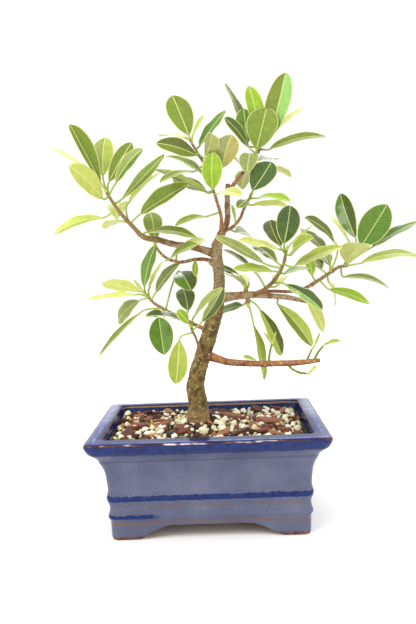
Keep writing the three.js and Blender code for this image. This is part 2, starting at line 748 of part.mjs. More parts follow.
// The point of a limb's middle line nearest to a place, a little away from the limb's two ends.
function nearestOnPath(path, point) {
  let best = null;
  for (let i = 0; i + 1 < path.length; i++) {
    const start = corner(path[i]);
    const end = corner(path[i + 1]);
    const along = end.clone().sub(start).setLength(STALK_END_MARGIN);
    if (i === 0) {
      start.add(along);
    }
    if (i + 2 === path.length) {
      end.sub(along);
    }
    const segment = new THREE.Line3(start, end);
    const share = segment.closestPointToPointParameter(point, true);
    const place = segment.at(share, new THREE.Vector3());
    const distance = place.distanceTo(point);
    if (best === null || distance < best.distance) {
      best = { distance, place };
    }
  }
  return best.place;
}

// One leaf with its stalk, swept as a flattened diamond section: the stalk curves from the wood into
// the blade's base, and the blade swells, arches and narrows to its tip.
function leafSolid(leaf, path) {
  const base = corner(leaf);
  const tip = corner(leaf.slice(3));
  const width = leaf[6];
  const arch = leaf[10];
  const length = base.distanceTo(tip);
  const axis = tip.clone().sub(base).normalize();
  const facing = new THREE.Vector3(...leaf.slice(7, 10));
  const normal = facing.addScaledVector(axis, -facing.dot(axis)).normalize();
  const side = axis.clone().cross(normal);
  const start = nearestOnPath(path, base);
  const bend = base.clone().addScaledVector(axis, -0.35 * start.distanceTo(base));
  const stalk = new THREE.QuadraticBezierCurve3(start, bend, base);
  const rings = [];
  const addRing = (centre, forward, halfWidth, halfThickness) => {
    const turn = new THREE.Quaternion().setFromUnitVectors(axis, forward);
    const across = side.clone().applyQuaternion(turn);
    const up = normal.clone().applyQuaternion(turn);
    rings.push([
      centre.clone().addScaledVector(across, halfWidth),
      centre.clone().addScaledVector(up, halfThickness),
      centre.clone().addScaledVector(across, -halfWidth),
      centre.clone().addScaledVector(up, -halfThickness),
    ]);
  };
  for (const t of [0, 0.5]) {
    addRing(stalk.getPoint(t), stalk.getTangent(t), STALK_RADIUS, STALK_RADIUS);
  }
  for (const [t, share] of [[0.02, 0.14], [0.2, 0.75], [0.5, 1], [0.82, 0.66]]) {
    const centre = base.clone().addScaledVector(axis, t * length);
    centre.addScaledVector(normal, 4 * t * (1 - t) * arch);
    addRing(centre, axis, share * width / 2, LEAF_HALF_THICKNESS);
  }
  rings.push([tip]);
  return toSolid(loft(rings));
}

function shootSolid({ from, path, leaves }) {
  const carrier = path ?? LIMBS[from[0]].path;
  const solids = leaves.map((leaf) => leafSolid(leaf, carrier));
  if (path) {
    solids.push(limb({ path }));
  }
  return cutFree(solids.reduce((sum, solid) => sum.add(solid)), from);
}

// ---------------------------------------------------------------- the whole object

const plant = new THREE.Group();
plant.add(piece('pot', potSolid(), GLAZE));
plant.add(piece('soil', soilSolid(), SOIL));
plant.add(piece('drain_screen_left', screenSolid(-1), SCREEN));
plant.add(piece('drain_screen_right', screenSolid(1), SCREEN));
for (const [name, { from, look }] of Object.entries(WOOD)) {
  plant.add(piece(name, cutFree(limb(LIMBS[name]), from), look));
}
for (const [name, { young }] of Object.entries(SHOOTS)) {
  plant.add(piece(name, shootSolid(LIMBS[name]), young ? YOUNG_LEAF : LEAF));
}

const middle = new THREE.Box3().setFromObject(plant).getCenter(new THREE.Vector3());
plant.position.set(-middle.x, -middle.y, 0);

export default plant;
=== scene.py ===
"""A small fig bonsai in a glazed, footed tray pot.

Lengths are in millimetres from the pot's middle on the ground, +Z up and -Y to the front, until spot()
turns them into the frame's metres.
"""

import json
import math
import random

import bmesh
import bpy
from mathutils import Matrix, Vector, noise

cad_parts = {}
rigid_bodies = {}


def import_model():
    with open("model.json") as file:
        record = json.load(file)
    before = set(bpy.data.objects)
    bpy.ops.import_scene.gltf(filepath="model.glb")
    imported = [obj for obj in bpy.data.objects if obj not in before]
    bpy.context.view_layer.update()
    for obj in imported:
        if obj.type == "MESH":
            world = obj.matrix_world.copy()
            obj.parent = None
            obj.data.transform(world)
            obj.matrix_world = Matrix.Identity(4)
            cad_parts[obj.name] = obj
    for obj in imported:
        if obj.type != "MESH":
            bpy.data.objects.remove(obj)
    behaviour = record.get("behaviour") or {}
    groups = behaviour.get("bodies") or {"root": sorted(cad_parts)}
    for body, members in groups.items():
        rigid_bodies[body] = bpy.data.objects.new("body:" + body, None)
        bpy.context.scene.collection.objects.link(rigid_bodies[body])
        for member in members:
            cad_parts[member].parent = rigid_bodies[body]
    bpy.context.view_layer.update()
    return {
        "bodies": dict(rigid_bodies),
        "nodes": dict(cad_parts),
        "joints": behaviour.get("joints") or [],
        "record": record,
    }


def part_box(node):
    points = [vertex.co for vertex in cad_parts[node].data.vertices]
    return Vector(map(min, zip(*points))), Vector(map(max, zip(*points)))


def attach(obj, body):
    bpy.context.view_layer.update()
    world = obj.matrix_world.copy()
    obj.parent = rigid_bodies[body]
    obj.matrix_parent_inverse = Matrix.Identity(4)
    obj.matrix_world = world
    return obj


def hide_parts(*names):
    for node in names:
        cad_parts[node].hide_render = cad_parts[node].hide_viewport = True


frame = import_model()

MM = 0.001
POT_LOW, POT_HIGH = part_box("pot")
POT_MIDDLE = (POT_LOW + POT_HIGH) / 2


def spot(x, y, z):
    """A place in millimetres from the pot's middle on the ground, as a point of the frame."""
    return Vector((POT_MIDDLE.x + x * MM, POT_MIDDLE.y + y * MM, z * MM))


def mix(low, high, share):
    return low + (high - low) * share


def smooth_step(low, high, value):
    share = min(max((value - low) / (high - low), 0.0), 1.0)
    return share * share * (3 - 2 * share)


def colour(code):
    """A linear colour from a six-digit screen colour."""
    channels = []
    for i in (0, 2, 4):
        value = int(code[i:i + 2], 16) / 255
        channels.append(value / 12.92 if value <= 0.04045 else ((value + 0.055) / 1.055) ** 2.4)
    return Vector(channels)


# ---------------------------------------------------------------- camera, light and floor

CAMERA_AT = (10.6, -483, 184)
CAMERA_DOWN = math.radians(4.78)
CAMERA_LEFT = math.radians(0.96)
CAMERA_ROLL = math.radians(2.2)
CAMERA_LENS = 39.75


def make_camera():
    forward = Vector((
        -math.sin(CAMERA_LEFT) * math.cos(CAMERA_DOWN),
        math.cos(CAMERA_LEFT) * math.cos(CAMERA_DOWN),
        -math.sin(CAMERA_DOWN),
    ))
    right = forward.cross(Vector((0, 0, 1))).normalized()
    up = right.cross(forward)
    turned_right = right * math.cos(CAMERA_ROLL) - up * math.sin(CAMERA_ROLL)
    turned_up = right * math.sin(CAMERA_ROLL) + up * math.cos(CAMERA_ROLL)
    data = bpy.data.cameras.new("camera")
    data.lens = CAMERA_LENS
    data.clip_start = 0.01
    camera = bpy.data.objects.new("camera", data)
    turn = Matrix((turned_right, turned_up, -forward)).transposed()
    camera.matrix_world = Matrix.Translation(spot(*CAMERA_AT)) @ turn.to_4x4()
    bpy.context.collection.objects.link(camera)
    bpy.context.scene.camera = camera


def make_area_light(name, at, size, watts):
    """A square soft light that faces the middle of the tree."""
    data = bpy.data.lights.new(name, "AREA")
    data.size = size
    data.energy = watts
    light = bpy.data.objects.new(name, data)
    light.location = spot(*at)
    aim = spot(0, 0, 150) - light.location
    light.rotation_euler = aim.to_track_quat("-Z", "Y").to_euler()
    bpy.context.collection.objects.link(light)


WORLD_LIGHT = 1.05


def make_studio():
    world = bpy.data.worlds.new("studio")
    world.use_nodes = True
    background = world.node_tree.nodes["Background"]
    background.inputs["Color"].default_value = (1, 1, 1, 1)
    background.inputs["Strength"].default_value = WORLD_LIGHT
    bpy.context.scene.world = world
    bpy.context.scene.view_settings.view_transform = "Standard"
    make_area_light("key", (-700, -600, 900), 0.7, 9)
    make_area_light("fill", (800, -500, 500), 0.9, 3)
    make_area_light("back", (200, 900, 800), 0.8, 6)


FLOOR_HALF_SIZE = 60.0  # metres


def make_floor():
    half = FLOOR_HALF_SIZE
    corners = [(-half, -half, 0), (half, -half, 0), (half, half, 0), (-half, half, 0)]
    mesh = bpy.data.meshes.new("floor")
    mesh.from_pydata(corners, [], [(0, 1, 2, 3)])
    floor = bpy.data.objects.new("floor", mesh)
    bpy.context.collection.objects.link(floor)
    material = Shader("floor")
    patches = material.noise(material.object_coordinates(), 400, 2)
    shade = material.two_tone(patches, "fcfbf9", "fefdfc")
    material.finish(shade, roughness=0.9)
    mesh.materials.append(material.material)


# ---------------------------------------------------------------- material building

class Shader:
    """A material built from nodes that ends in one Principled shader."""

    def __init__(self, name):
        self.material = bpy.data.materials.new(name)
        self.material.use_nodes = True
        self.tree = self.material.node_tree
        self.principled = self.tree.nodes["Principled BSDF"]

    def node(self, kind, **settings):
        made = self.tree.nodes.new(kind)
        for key, value in settings.items():
            setattr(made, key, value)
        return made

    def put(self, socket, value):
        """Links a socket to another node's output, or sets its own value."""
        if isinstance(value, bpy.types.NodeSocket):
            self.tree.links.new(value, socket)
        elif isinstance(value, Vector):
            socket.default_value = (*value, 1) if len(socket.default_value) == 4 else value
        else:
            socket.default_value = value

    def object_coordinates(self, stretch=(1, 1, 1)):
        """The frame's coordinates in millimetres, so that a scale of 1 is one cell to a millimetre."""
        coordinates = self.node("ShaderNodeTexCoord")
        mapping = self.node("ShaderNodeMapping")
        self.put(mapping.inputs["Vector"], coordinates.outputs["Object"])
        mapping.inputs["Scale"].default_value = [1000 * share for share in stretch]
        return mapping.outputs["Vector"]

    def attribute(self, name):
        return self.node("ShaderNodeAttribute", attribute_name=name)

    def number(self, name):
        return self.attribute(name).outputs["Fac"]

    def noise(self, vector, size, detail=3, roughness=0.55):
        """Cloudy noise between 0 and 1 with patches about this many millimetres across."""
        made = self.node("ShaderNodeTexNoise")
        self.put(made.inputs["Vector"], vector)
        made.inputs["Scale"].default_value = 1 / size
        made.inputs["Detail"].default_value = detail
        made.inputs["Roughness"].default_value = roughness
        return made.outputs["Fac"]

    def cells(self, vector, size):
        """The distance to the nearest of a scatter of points about this many millimetres apart."""
        made = self.node("ShaderNodeTexVoronoi")
        self.put(made.inputs["Vector"], vector)
        made.inputs["Scale"].default_value = 1 / size
        return made.outputs["Distance"]

    def maths(self, operation, first, second=0.0):
        made = self.node("ShaderNodeMath", operation=operation)
        self.put(made.inputs[0], first)
        self.put(made.inputs[1], second)
        return made.outputs[0]

    def plus(self, first, second):
        return self.maths("ADD", first, second)

    def times(self, first, second):
        return self.maths("MULTIPLY", first, second)

    def rise(self, value, low, high):
        """0 below low, 1 above high, smooth between; with low above high it falls instead."""
        made = self.node("ShaderNodeMapRange", interpolation_type="SMOOTHSTEP")
        self.put(made.inputs["Value"], value)
        swapped = low > high
        made.inputs["From Min"].default_value = high if swapped else low
        made.inputs["From Max"].default_value = low if swapped else high
        made.inputs["To Min"].default_value = 1.0 if swapped else 0.0
        made.inputs["To Max"].default_value = 0.0 if swapped else 1.0
        return made.outputs["Result"]

    def band(self, value, low, high, soft):
        """1 between low and high and 0 outside, with edges this soft."""
        up = self.rise(value, low - soft, low + soft)
        down = self.rise(value, high + soft, high - soft)
        return self.times(up, down)

    def blend(self, share, first, second):
        made = self.node("ShaderNodeMix", data_type="RGBA")
        self.put(made.inputs["Factor"], share)
        self.put(made.inputs[6], first)
        self.put(made.inputs[7], second)
        return made.outputs[2]

    def paint(self, shade, over, *shares):
        """A shade with another over it, as strongly as all the shares multiplied together."""
        strength = shares[0]
        for share in shares[1:]:
            strength = self.times(strength, share)
        return self.blend(strength, shade, over)

    def tinted(self, light):
        """The colour stored on the mesh, multiplied by a shade that varies around white."""
        made = self.node("ShaderNodeMix", data_type="RGBA", blend_type="MULTIPLY")
        made.inputs["Factor"].default_value = 1
        self.put(made.inputs[6], self.attribute("tint").outputs["Color"])
        self.put(made.inputs[7], light)
        return made.outputs[2]

    def ramp(self, value, stops):
        made = self.node("ShaderNodeValToRGB")
        elements = made.color_ramp.elements
        while len(elements) < len(stops):
            elements.new(0.5)
        for element, (place, shade) in zip(elements, stops):
            element.position = place
            element.color = (*shade, 1)
        self.put(made.inputs["Fac"], value)
        return made.outputs["Color"]

    def two_tone(self, value, low_code, high_code):
        """One screen colour where a value is low and another where it is high."""
        return self.ramp(value, [(0.3, colour(low_code)), (0.7, colour(high_code))])

    def bump(self, height, depth):
        """Relief this many millimetres deep from a height between 0 and 1."""
        made = self.node("ShaderNodeBump")
        made.inputs["Distance"].default_value = depth * MM
        self.put(made.inputs["Height"], height)
        return made.outputs["Normal"]

    def finish(self, shade, roughness, normal=None, coat=0.0, ior=1.45):
        """The finished material, with a clear coat where coat is above zero."""
        self.principled.inputs["IOR"].default_value = ior
        self.put(self.principled.inputs["Base Color"], shade)
        self.put(self.principled.inputs["Roughness"], roughness)
        if normal is not None:
            self.put(self.principled.inputs["Normal"], normal)
        if coat:
            self.principled.inputs["Coat Weight"].default_value = coat
            self.principled.inputs["Coat Roughness"].default_value = 0.04
        return self.material


# ---------------------------------------------------------------- meshes

def loft(rings):
    """The faces between equal rings of points, with a fan over each end. An end ring may be one point."""
    vertices = [point for ring in rings for point in ring]
    starts = [0]
    for ring in rings:
        starts.append(starts[-1] + len(ring))
    faces = []
    for i in range(len(rings) - 1):
        low, high = starts[i], starts[i + 1]
        low_count, high_count = len(rings[i]), len(rings[i + 1])
        count = max(low_count, high_count)
        for j in range(count):
            after = (j + 1) % count
            if low_count == 1:
                faces.append((low, high + after, high + j))
            elif high_count == 1:
                faces.append((low + j, low + after, high))
            else:
                faces.append((low + j, low + after, high + after, high + j))
    if len(rings[0]) > 1:
        faces.append(tuple(reversed(range(starts[0], starts[1]))))
    if len(rings[-1]) > 1:
        faces.append(tuple(range(starts[-2], starts[-1])))
    return vertices, faces


class Piece:
    """One visible piece: a mesh in the frame that grows by shells, with values stored on its points."""

    def __init__(self, name):
        self.name = name
        self.vertices = []
        self.faces = []
        self.face_materials = []
        self.values = {}
        self.places = []

    def add(self, vertices, faces, material=0, places=None, **values):
        """Adds a shell. A value is one for the whole shell or a list with one for each point."""
        start = len(self.vertices)
        self.vertices += vertices
        self.faces += [tuple(start + corner for corner in face) for face in faces]
        self.face_materials += [material] * len(faces)
        self.places += places or [(0, 0)] * len(vertices)
        for key, value in values.items():
            numbers = value if isinstance(value, list) else [value] * len(vertices)
            self.values.setdefault(key, []).extend(numbers)

    def build(self, materials, slot, *nodes):
        mesh = bpy.data.meshes.new(self.name)
        mesh.from_pydata([spot(*vertex) for vertex in self.vertices], [], self.faces)
        mesh.polygons.foreach_set("material_index", self.face_materials)
        mesh.polygons.foreach_set("use_smooth", [True] * len(self.faces))
        for key, numbers in self.values.items():
            if isinstance(numbers[0], Vector):
                layer = mesh.attributes.new(key, "FLOAT_COLOR", "POINT")
                layer.data.foreach_set("color", [part for shade in numbers for part in (*shade, 1)])
            else:
                layer = mesh.attributes.new(key, "FLOAT", "POINT")
                layer.data.foreach_set("value", numbers)
        layer = mesh.uv_layers.new(name="places")
        corners = [0] * len(mesh.loops)
        mesh.loops.foreach_get("vertex_index", corners)
        layer.data.foreach_set("uv", [part for corner in corners for part in self.places[corner]])
        for material in materials:
            mesh.materials.append(material)
        turner = bmesh.new()
        turner.from_mesh(mesh)
        bmesh.ops.recalc_face_normals(turner, faces=turner.faces)
        turner.to_mesh(mesh)
        turner.free()
        built = bpy.data.objects.new(self.name, mesh)
        bpy.context.collection.objects.link(built)
        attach(built, "root")
        if nodes:
            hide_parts(*nodes)
        return built


def turns(count):
    """Angles that go once round in equal steps."""
    return [2 * math.pi * step / count for step in range(count)]


def smooth_path(path, step):
    """Points [x, y, z, radius] about one step apart on a smooth curve through a path's points."""
    points = [Vector(point) for point in path]
    slopes = []
    for i in range(len(points)):
        before = points[max(i - 1, 0)]
        after = points[min(i + 1, len(points) - 1)]
        slopes.append((after - before) / (after - before).xyz.length)
    smooth = []
    for i in range(len(points) - 1):
        start, end = points[i], points[i + 1]
        length = (end - start).xyz.length
        count = max(1, round(length / step))
        for k in range(count):
            t = k / count
            smooth.append(
                start * (1 + t * t * (2 * t - 3))
                + end * (t * t * (3 - 2 * t))
                + slopes[i] * (length * t * (1 - t) * (1 - t))
                + slopes[i + 1] * (length * t * t * (t - 1))
            )
    smooth.append(points[-1])
    return smooth


def frames_along(points):
    """Each point's [distance along, forward, across, up]; the directions turn as little as possible."""
    frames = []
    across = Vector((1, 0, 0))
    along = 0.0
    for i, point in enumerate(points):
        before = points[max(i - 1, 0)].xyz
        after = points[min(i + 1, len(points) - 1)].xyz
        forward = (after - before).normalized()
        if i == 0 and abs(forward.x) > 0.8:
            across = Vector((0, 1, 0))
        across = (across - forward * across.dot(forward)).normalized()
        along += (point.xyz - before).length if i else 0.0
        frames.append((along, forward, across, forward.cross(across)))
    return frames


# ---------------------------------------------------------------- pot

POT_WIDTH = 158
POT_DEPTH = 124
POT_CORNER_RADIUS = 6
SMALLEST_CORNER_RADIUS = 2.5
FLOOR_UNDERSIDE = 10
FLOOR_TOP = 14
APRON_ARCH_HEIGHT = 9.2
APRON_TOP = 12.7
# Where the arch between two feet is flat and where its feet start, from the middle of the wall.
SIDE_ARCH = (10, 33)
FRONT_ARCH = (25, 50)
DRAIN_RADIUS = 7
DRAIN_OFFSET = 34
SOIL_TOP = 62
SOIL_MOUND = 5
TRUNK_FOOT = (-7, 1)
TRUNK_FOOT_RADIUS = 8

# Outside of the pot, from the rim down to the apron: [height, inset from the rim's outermost size].
POT_OUTSIDE = [
    [68, 1.3], [66, 0], [64.5, 0], [60.3, 1.9], [58.4, 4], [55.1, 7.2], [52.2, 8.4], [49.9, 9.6],
    [44.7, 11.3], [38.9, 12], [33.3, 12.3], [28.6, 11.4], [26, 12], [22.5, 13], [19.3, 12.8],
    [15.9, 12], [APRON_TOP, 13.3],
]

# Inside of the pot, from the floor up to the rim.
POT_INSIDE = [[FLOOR_TOP, 21], [18, 19.5], [45, 18], [56, 14], [64, 9.8], [67, 9], [68, 10]]

# The bottom edge of the skirt between and under the feet: [height above the edge, inset].
SKIRT_EDGE = [[3.5, 13.5], [1.6, 13.7], [0.5, 14.1], [0, 15.2], [0, 18], [0.6, 19]]

# The underside of the floor inside the skirt: its inset, and how far along the wall it counts as being.
UNDERSIDE_INSET = 20.5
UNDERSIDE_PAST_APRON = 16


def outline(inset):
    """One ring of the pot's rounded rectangle: [point, which wall it is on, how far along that wall]."""
    radius = max(SMALLEST_CORNER_RADIUS, POT_CORNER_RADIUS - 0.1 * inset)
    half_x = POT_WIDTH / 2 - inset - radius
    half_y = POT_DEPTH / 2 - inset - radius
    straight_steps = 40
    corner_steps = 9
    ring = []
    for side in range(4):
        angle = side * math.pi / 2
        turn = Vector((math.cos(angle), math.sin(angle)))
        left = Vector((-turn.y, turn.x))
        reach, half = (half_x, half_y) if side % 2 == 0 else (half_y, half_x)
        for step in range(straight_steps):
            along = mix(-half, half, step / straight_steps)
            ring.append((turn * (reach + radius) + left * along, side, along))
        for step in range(corner_steps):
            bend = angle + step / corner_steps * math.pi / 2
            centre = turn * reach + left * half
            ring.append((centre + Vector((math.cos(bend), math.sin(bend))) * radius, side, half + step))
    return ring


def apron_edge(side, along):
    """Height of the skirt's bottom edge: zero under the feet and arched between them."""
    arch = SIDE_ARCH if side % 2 == 0 else FRONT_ARCH
    return APRON_ARCH_HEIGHT * (1 - smooth_step(*arch, abs(along)))


def dense_profile(profile, step=1.2):
    points = smooth_path([[height, inset, 0, 1] for height, inset in profile], step)
    return [(point.x, point.y) for point in points]


def profile_length(profile):
    points = dense_profile(profile)
    return sum(math.dist(a, b) for a, b in zip(points, points[1:]))


# How far along the wall its parts are, from the edge of the inside floor over the rim and down outside.
INSIDE_END = profile_length(POT_INSIDE) - 1
RIM_EDGE = INSIDE_END + math.dist(POT_INSIDE[-1], POT_OUTSIDE[0]) + 1.4
UNGLAZED_START = RIM_EDGE + profile_length(POT_OUTSIDE) + 3


def pot_rings():
    """The pot's rings, each with how far along the wall it is and its points' heights above the edge.

    Above the skirt that height is lowered by only a third of the arch, so that lines follow it loosely.
    """
    rings = []
    along_wall = 0.0
    last = None
    for height, inset in dense_profile(POT_INSIDE) + dense_profile(POT_OUTSIDE)[1:]:
        if last:
            along_wall += math.dist(last, (height, inset))
        last = (height, inset)
        ring = [(point.x, point.y, height) for point, side, along in outline(inset)]
        above = [height - apron_edge(side, along) / 3 for point, side, along in outline(inset)]
        rings.append((ring, along_wall, above))
    for rise, inset in SKIRT_EDGE:
        ring = []
        for point, side, along in outline(inset):
            edge = apron_edge(side, along)
            ring.append((point.x, point.y, edge + rise * (APRON_TOP - edge) / APRON_TOP))
        past_apron = 4 - rise + inset - SKIRT_EDGE[0][1]
        rings.append((ring, along_wall + past_apron, [rise] * len(ring)))
    under = outline(UNDERSIDE_INSET)
    ring = [(point.x, point.y, FLOOR_UNDERSIDE) for point, side, along in under]
    rings.append((ring, along_wall + UNDERSIDE_PAST_APRON, [0.0] * len(ring)))
    return rings


def make_pot():
    rings = pot_rings()
    floor_middle = [(0, 0, FLOOR_TOP)]
    underside_middle = [(0, 0, FLOOR_UNDERSIDE)]
    vertices, faces = loft([floor_middle] + [ring for ring, along, above in rings] + [underside_middle])
    glaze_waves = 0.18
    wavy = []
    for x, y, z in vertices:
        wave = noise.noise(Vector((x, y, z)) / 11) * glaze_waves * smooth_step(1, 6, z)
        shrink = 1 - wave / POT_DEPTH * 2
        wavy.append((x * shrink, y * shrink, z))
    along_wall = [0.0] + [along for ring, along, above in rings for point in ring] + [100.0]
    above_edge = [20.0] + [high for ring, along, above in rings for high in above] + [0.0]
    piece = Piece("glazed_pot")
    piece.add(wavy, faces, along_wall=along_wall, above_edge=above_edge)
    pot = piece.build([glaze_material()], "pot_glaze", "pot")
    for side in (-1, 1):
        cut_drain_hole(pot, side * DRAIN_OFFSET)


def cut_drain_hole(pot, x):
    mesh = bpy.data.meshes.new("drain_cutter")
    cutter = bmesh.new()
    bmesh.ops.create_cone(
        cutter, cap_ends=True, segments=40, radius1=DRAIN_RADIUS * MM, radius2=DRAIN_RADIUS * MM,
        depth=20 * MM, matrix=Matrix.Translation(spot(x, 0, FLOOR_TOP)),
    )
    cutter.to_mesh(mesh)
    cutter.free()
    drain = bpy.data.objects.new("drain_cutter", mesh)
    bpy.context.collection.objects.link(drain)
    cut = pot.modifiers.new("drain", "BOOLEAN")
    cut.object = drain
    cut.solver = "EXACT"
    apply_modifiers(pot)
    bpy.data.objects.remove(drain)


def apply_modifiers(piece):
    bpy.context.view_layer.update()
    evaluated = piece.evaluated_get(bpy.context.evaluated_depsgraph_get())
    mesh = bpy.data.meshes.new_from_object(evaluated)
    piece.modifiers.clear()
    piece.data = mesh


# Where the glaze pools blue or breaks brown, as heights from and to.
UPPER_RIDGE_POOL = (26.4, 30.2)
LOWER_RIDGE_POOL = (14.6, 17.2)
# The pool under the lip is dark and wide so that it also paints the shadow that the lip casts.
LIP_POOL_AND_SHADOW = (59.4, 69)
LIP_STREAK = (53.5, 55.2)
RIDGE_BREAK = (21.6, 22.9)
APRON_BREAK = (10.2, 11.6)


def glaze_body(shader, place, clouds):
    """Slate violet with lighter clouds and fine specks."""
    body = shader.ramp(clouds, [(0.3, colour("474a63")), (0.55, colour("565a72")), (0.8, colour("66697e"))])
    specks = shader.noise(place, 0.7, 2)
    speckled = shader.ramp(specks, [(0.35, colour("3c405a")), (0.65, colour("757889"))])
    return shader.blend(0.3, body, speckled)


def royal_pools(shader, shade, ragged, height, left_end):
    """Royal blue on the upper ridge, on the left end of the lower one, and under the lip, where it is dark
    and wide enough to also paint the shadow that the lip casts.
    """
    royal = shader.two_tone(ragged, "0a1846", "182e6c")
    shade = shader.paint(shade, royal, shader.band(height, *UPPER_RIDGE_POOL, 0.35))
    shade = shader.paint(shade, royal, shader.band(height, *LOWER_RIDGE_POOL, 0.35), left_end)
    # Royal blue under the lip, also standing for the lip's shadow as painted shade.
    shade = shader.paint(shade, royal, shader.band(height, *LIP_POOL_AND_SHADOW, 0.8), 0.95)
    return shader.paint(shade, royal, shader.band(height, *LIP_STREAK, 0.5), 0.35)


def inside_and_rim(shader, shade, wall, front):
    """Navy inside, and a rim that is royal blue at the front and pale at the back, where the pale is a
    painted reflection of the white surroundings.
    """
    drips = shader.noise(shader.object_coordinates((1, 1, 0.25)), 7, 2)
    navy = shader.two_tone(drips, "0c1230", "1b2c6c")
    shade = shader.paint(shade, navy, shader.rise(wall, INSIDE_END - 1.5, INSIDE_END - 3))
    front_rim = shader.two_tone(drips, "081c5c", "1b3c8c")
    # Painted reflection: the rim's back is pale where it would mirror the white surroundings.
    painted_rim_reflection = shader.two_tone(drips, "6d719c", "8c90b4")
    rim = shader.blend(front, painted_rim_reflection, front_rim)
    return shader.paint(shade, rim, shader.band(wall, INSIDE_END, RIM_EDGE - 0.8, 0.5))


def brown_breaks(shader, shade, place, ragged, wall, height, above):
    """Thin lines where the glaze runs off the rim, the ridge, the apron and the feet. The rim's line also
    carries painted white glints, and the brown at the skirt's edge is broad enough to paint the shade under
    the arches too.
    """
    brown = shader.ramp(ragged, [(0.3, colour("3a1c0e")), (0.55, colour("6b3d20")), (0.8, colour("9a6a3c"))])
    broken = shader.rise(shader.noise(place, 9, 2), 0.36, 0.55)
    break_and_glint_dashes = shader.noise(shader.object_coordinates((0.2, 0.2, 1)), 2.6, 2)
    # The rim's line: brown where the glaze breaks, with painted white glints at the pale end of the ramp.
    edge = shader.ramp(
        break_and_glint_dashes, [(0.35, colour("2e1a14")), (0.55, colour("5c3826")), (0.66, colour("d8ccc0"))]
    )
    inner_line = shader.band(wall, INSIDE_END - 2.2, INSIDE_END - 0.9, 0.35)
    along_apron = shader.plus(shader.times(above, 0.3), shader.times(height, 0.7))
    shade = shader.paint(shade, edge, shader.band(wall, RIM_EDGE, RIM_EDGE + 1.3, 0.35))
    shade = shader.paint(shade, colour("a98a5c"), inner_line, 0.8)
    shade = shader.paint(shade, colour("6e4e38"), shader.band(height, *RIDGE_BREAK, 0.5), broken, 0.6)
    shade = shader.paint(shade, colour("75523a"), shader.band(along_apron, *APRON_BREAK, 0.5), 0.75)
    # Brown clay along the skirt's bottom edge and underside, widened so that it also paints the shade under
    # the arches.
    shade = shader.paint(shade, brown, shader.rise(above, 1.9, 0.7))
    return shader.paint(shade, brown, shader.rise(height, 3.2, 1.6), broken)


def glaze_material():
    """Slate-violet glaze that pools royal blue on ridges and under the lip and breaks brown on edges, with
    painted shadow under the lip and the arches, painted glints on the rim's edge and a painted reflection on
    the rim's back.
    """
    shader = Shader("blue_glaze")
    place = shader.object_coordinates()
    axes = shader.node("ShaderNodeSeparateXYZ")
    shader.put(axes.inputs["Vector"], place)
    clouds = shader.noise(place, 26, 2)
    ragged = shader.noise(place, 3.2, 3)
    wobble = shader.times(shader.maths("SUBTRACT", ragged, 0.5), 2.4)
    height = shader.plus(axes.outputs["Z"], wobble)
    wall = shader.plus(shader.number("along_wall"), shader.times(wobble, 0.5))
    above = shader.plus(shader.number("above_edge"), shader.times(wobble, 0.35))
    left_end = shader.rise(shader.plus(axes.outputs["X"], shader.times(wobble, 3)), -62, -72)
    front = shader.rise(axes.outputs["Y"], 20, -20)

    shade = glaze_body(shader, place, clouds)
    shade = royal_pools(shader, shade, ragged, height, left_end)
    shade = inside_and_rim(shader, shade, wall, front)
    shade = brown_breaks(shader, shade, place, ragged, wall, height, above)
    bare = shader.rise(wall, UNGLAZED_START, UNGLAZED_START + 1)
    shade = shader.paint(shade, shader.two_tone(ragged, "6a4a30", "8d6a48"), bare)
    rough = shader.plus(shader.times(clouds, 0.12), 0.1)
    rough = shader.plus(rough, shader.times(bare, 0.6))
    dimples = shader.bump(shader.noise(place, 2.4, 2), 0.12)
    return shader.finish(shade, roughness=rough, normal=dimples, ior=1.32)


# ---------------------------------------------------------------- soil

def soil_height(x, y):
    """Height of the soil: level, mounded at the trunk and uneven everywhere."""
    from_trunk = math.dist((x, y), TRUNK_FOOT)
    mound = SOIL_MOUND * math.exp(-((from_trunk / 22) ** 2))
    bumps = 1.1 * noise.noise(Vector((x / 7, y / 7, 0))) + 0.5 * noise.noise(Vector((x / 2.2, y / 2.2, 4)))
    return SOIL_TOP - 0.6 + mound + bumps


def inside_inset(height):
    """How far the pot's inside wall is in from the rim's outermost size at a height."""
    for (low, low_inset), (high, high_inset) in zip(POT_INSIDE, POT_INSIDE[1:]):
        if height <= high:
            return mix(low_inset, high_inset, (height - low) / (high - low))
    return POT_INSIDE[-1][1]


def make_soil_bed():
    rings = []
    gap = 0.4
    for height in (FLOOR_TOP + gap, 18, 45, 56, 60.5):
        rings.append([(p.x, p.y, height) for p, side, along in outline(inside_inset(height) + gap)])
    top = outline(inside_inset(SOIL_TOP) + gap)
    steps = 46
    for step in range(steps):
        share = 1 - step / steps
        ring = []
        for point, side, along in top:
            x = mix(TRUNK_FOOT[0], point.x, share)
            y = mix(TRUNK_FOOT[1], point.y, share)
            ring.append((x, y, soil_height(x, y)))
        rings.append(ring)
    rings.append([(*TRUNK_FOOT, soil_height(*TRUNK_FOOT))])
    vertices, faces = loft(rings)
    shader = Shader("humus")
    place = shader.object_coordinates()
    clods = shader.noise(place, 1.6, 4, 0.7)
    shade = shader.ramp(clods, [(0.3, colour("1a120c")), (0.5, colour("38281a")), (0.72, colour("5d4630"))])
    material = shader.finish(shade, roughness=0.95, normal=shader.bump(clods, 1.2))
    piece = Piece("soil_bed")
    piece.add(vertices, faces)
    piece.build([material], "potting_mix", "soil")


def ball(cuts):
    """Corners and faces of a ball of radius 1."""
    shape = bmesh.new()
    bmesh.ops.create_icosphere(shape, subdivisions=cuts, radius=1)
    corners = [corner.co.copy() for corner in shape.verts]
    faces = [tuple(corner.index for corner in face.verts) for face in shape.faces]
    shape.free()
    return corners, faces


def random_turn(rng, tilt):
    """A turn to any heading, tipped by up to this angle each way."""
    heading = Matrix.Rotation(rng.uniform(0, 2 * math.pi), 3, "Z")
    lean = Matrix.Rotation(rng.uniform(-tilt, tilt), 3, "X")
    roll = Matrix.Rotation(rng.uniform(-tilt, tilt), 3, "Y")
    return heading @ lean @ roll


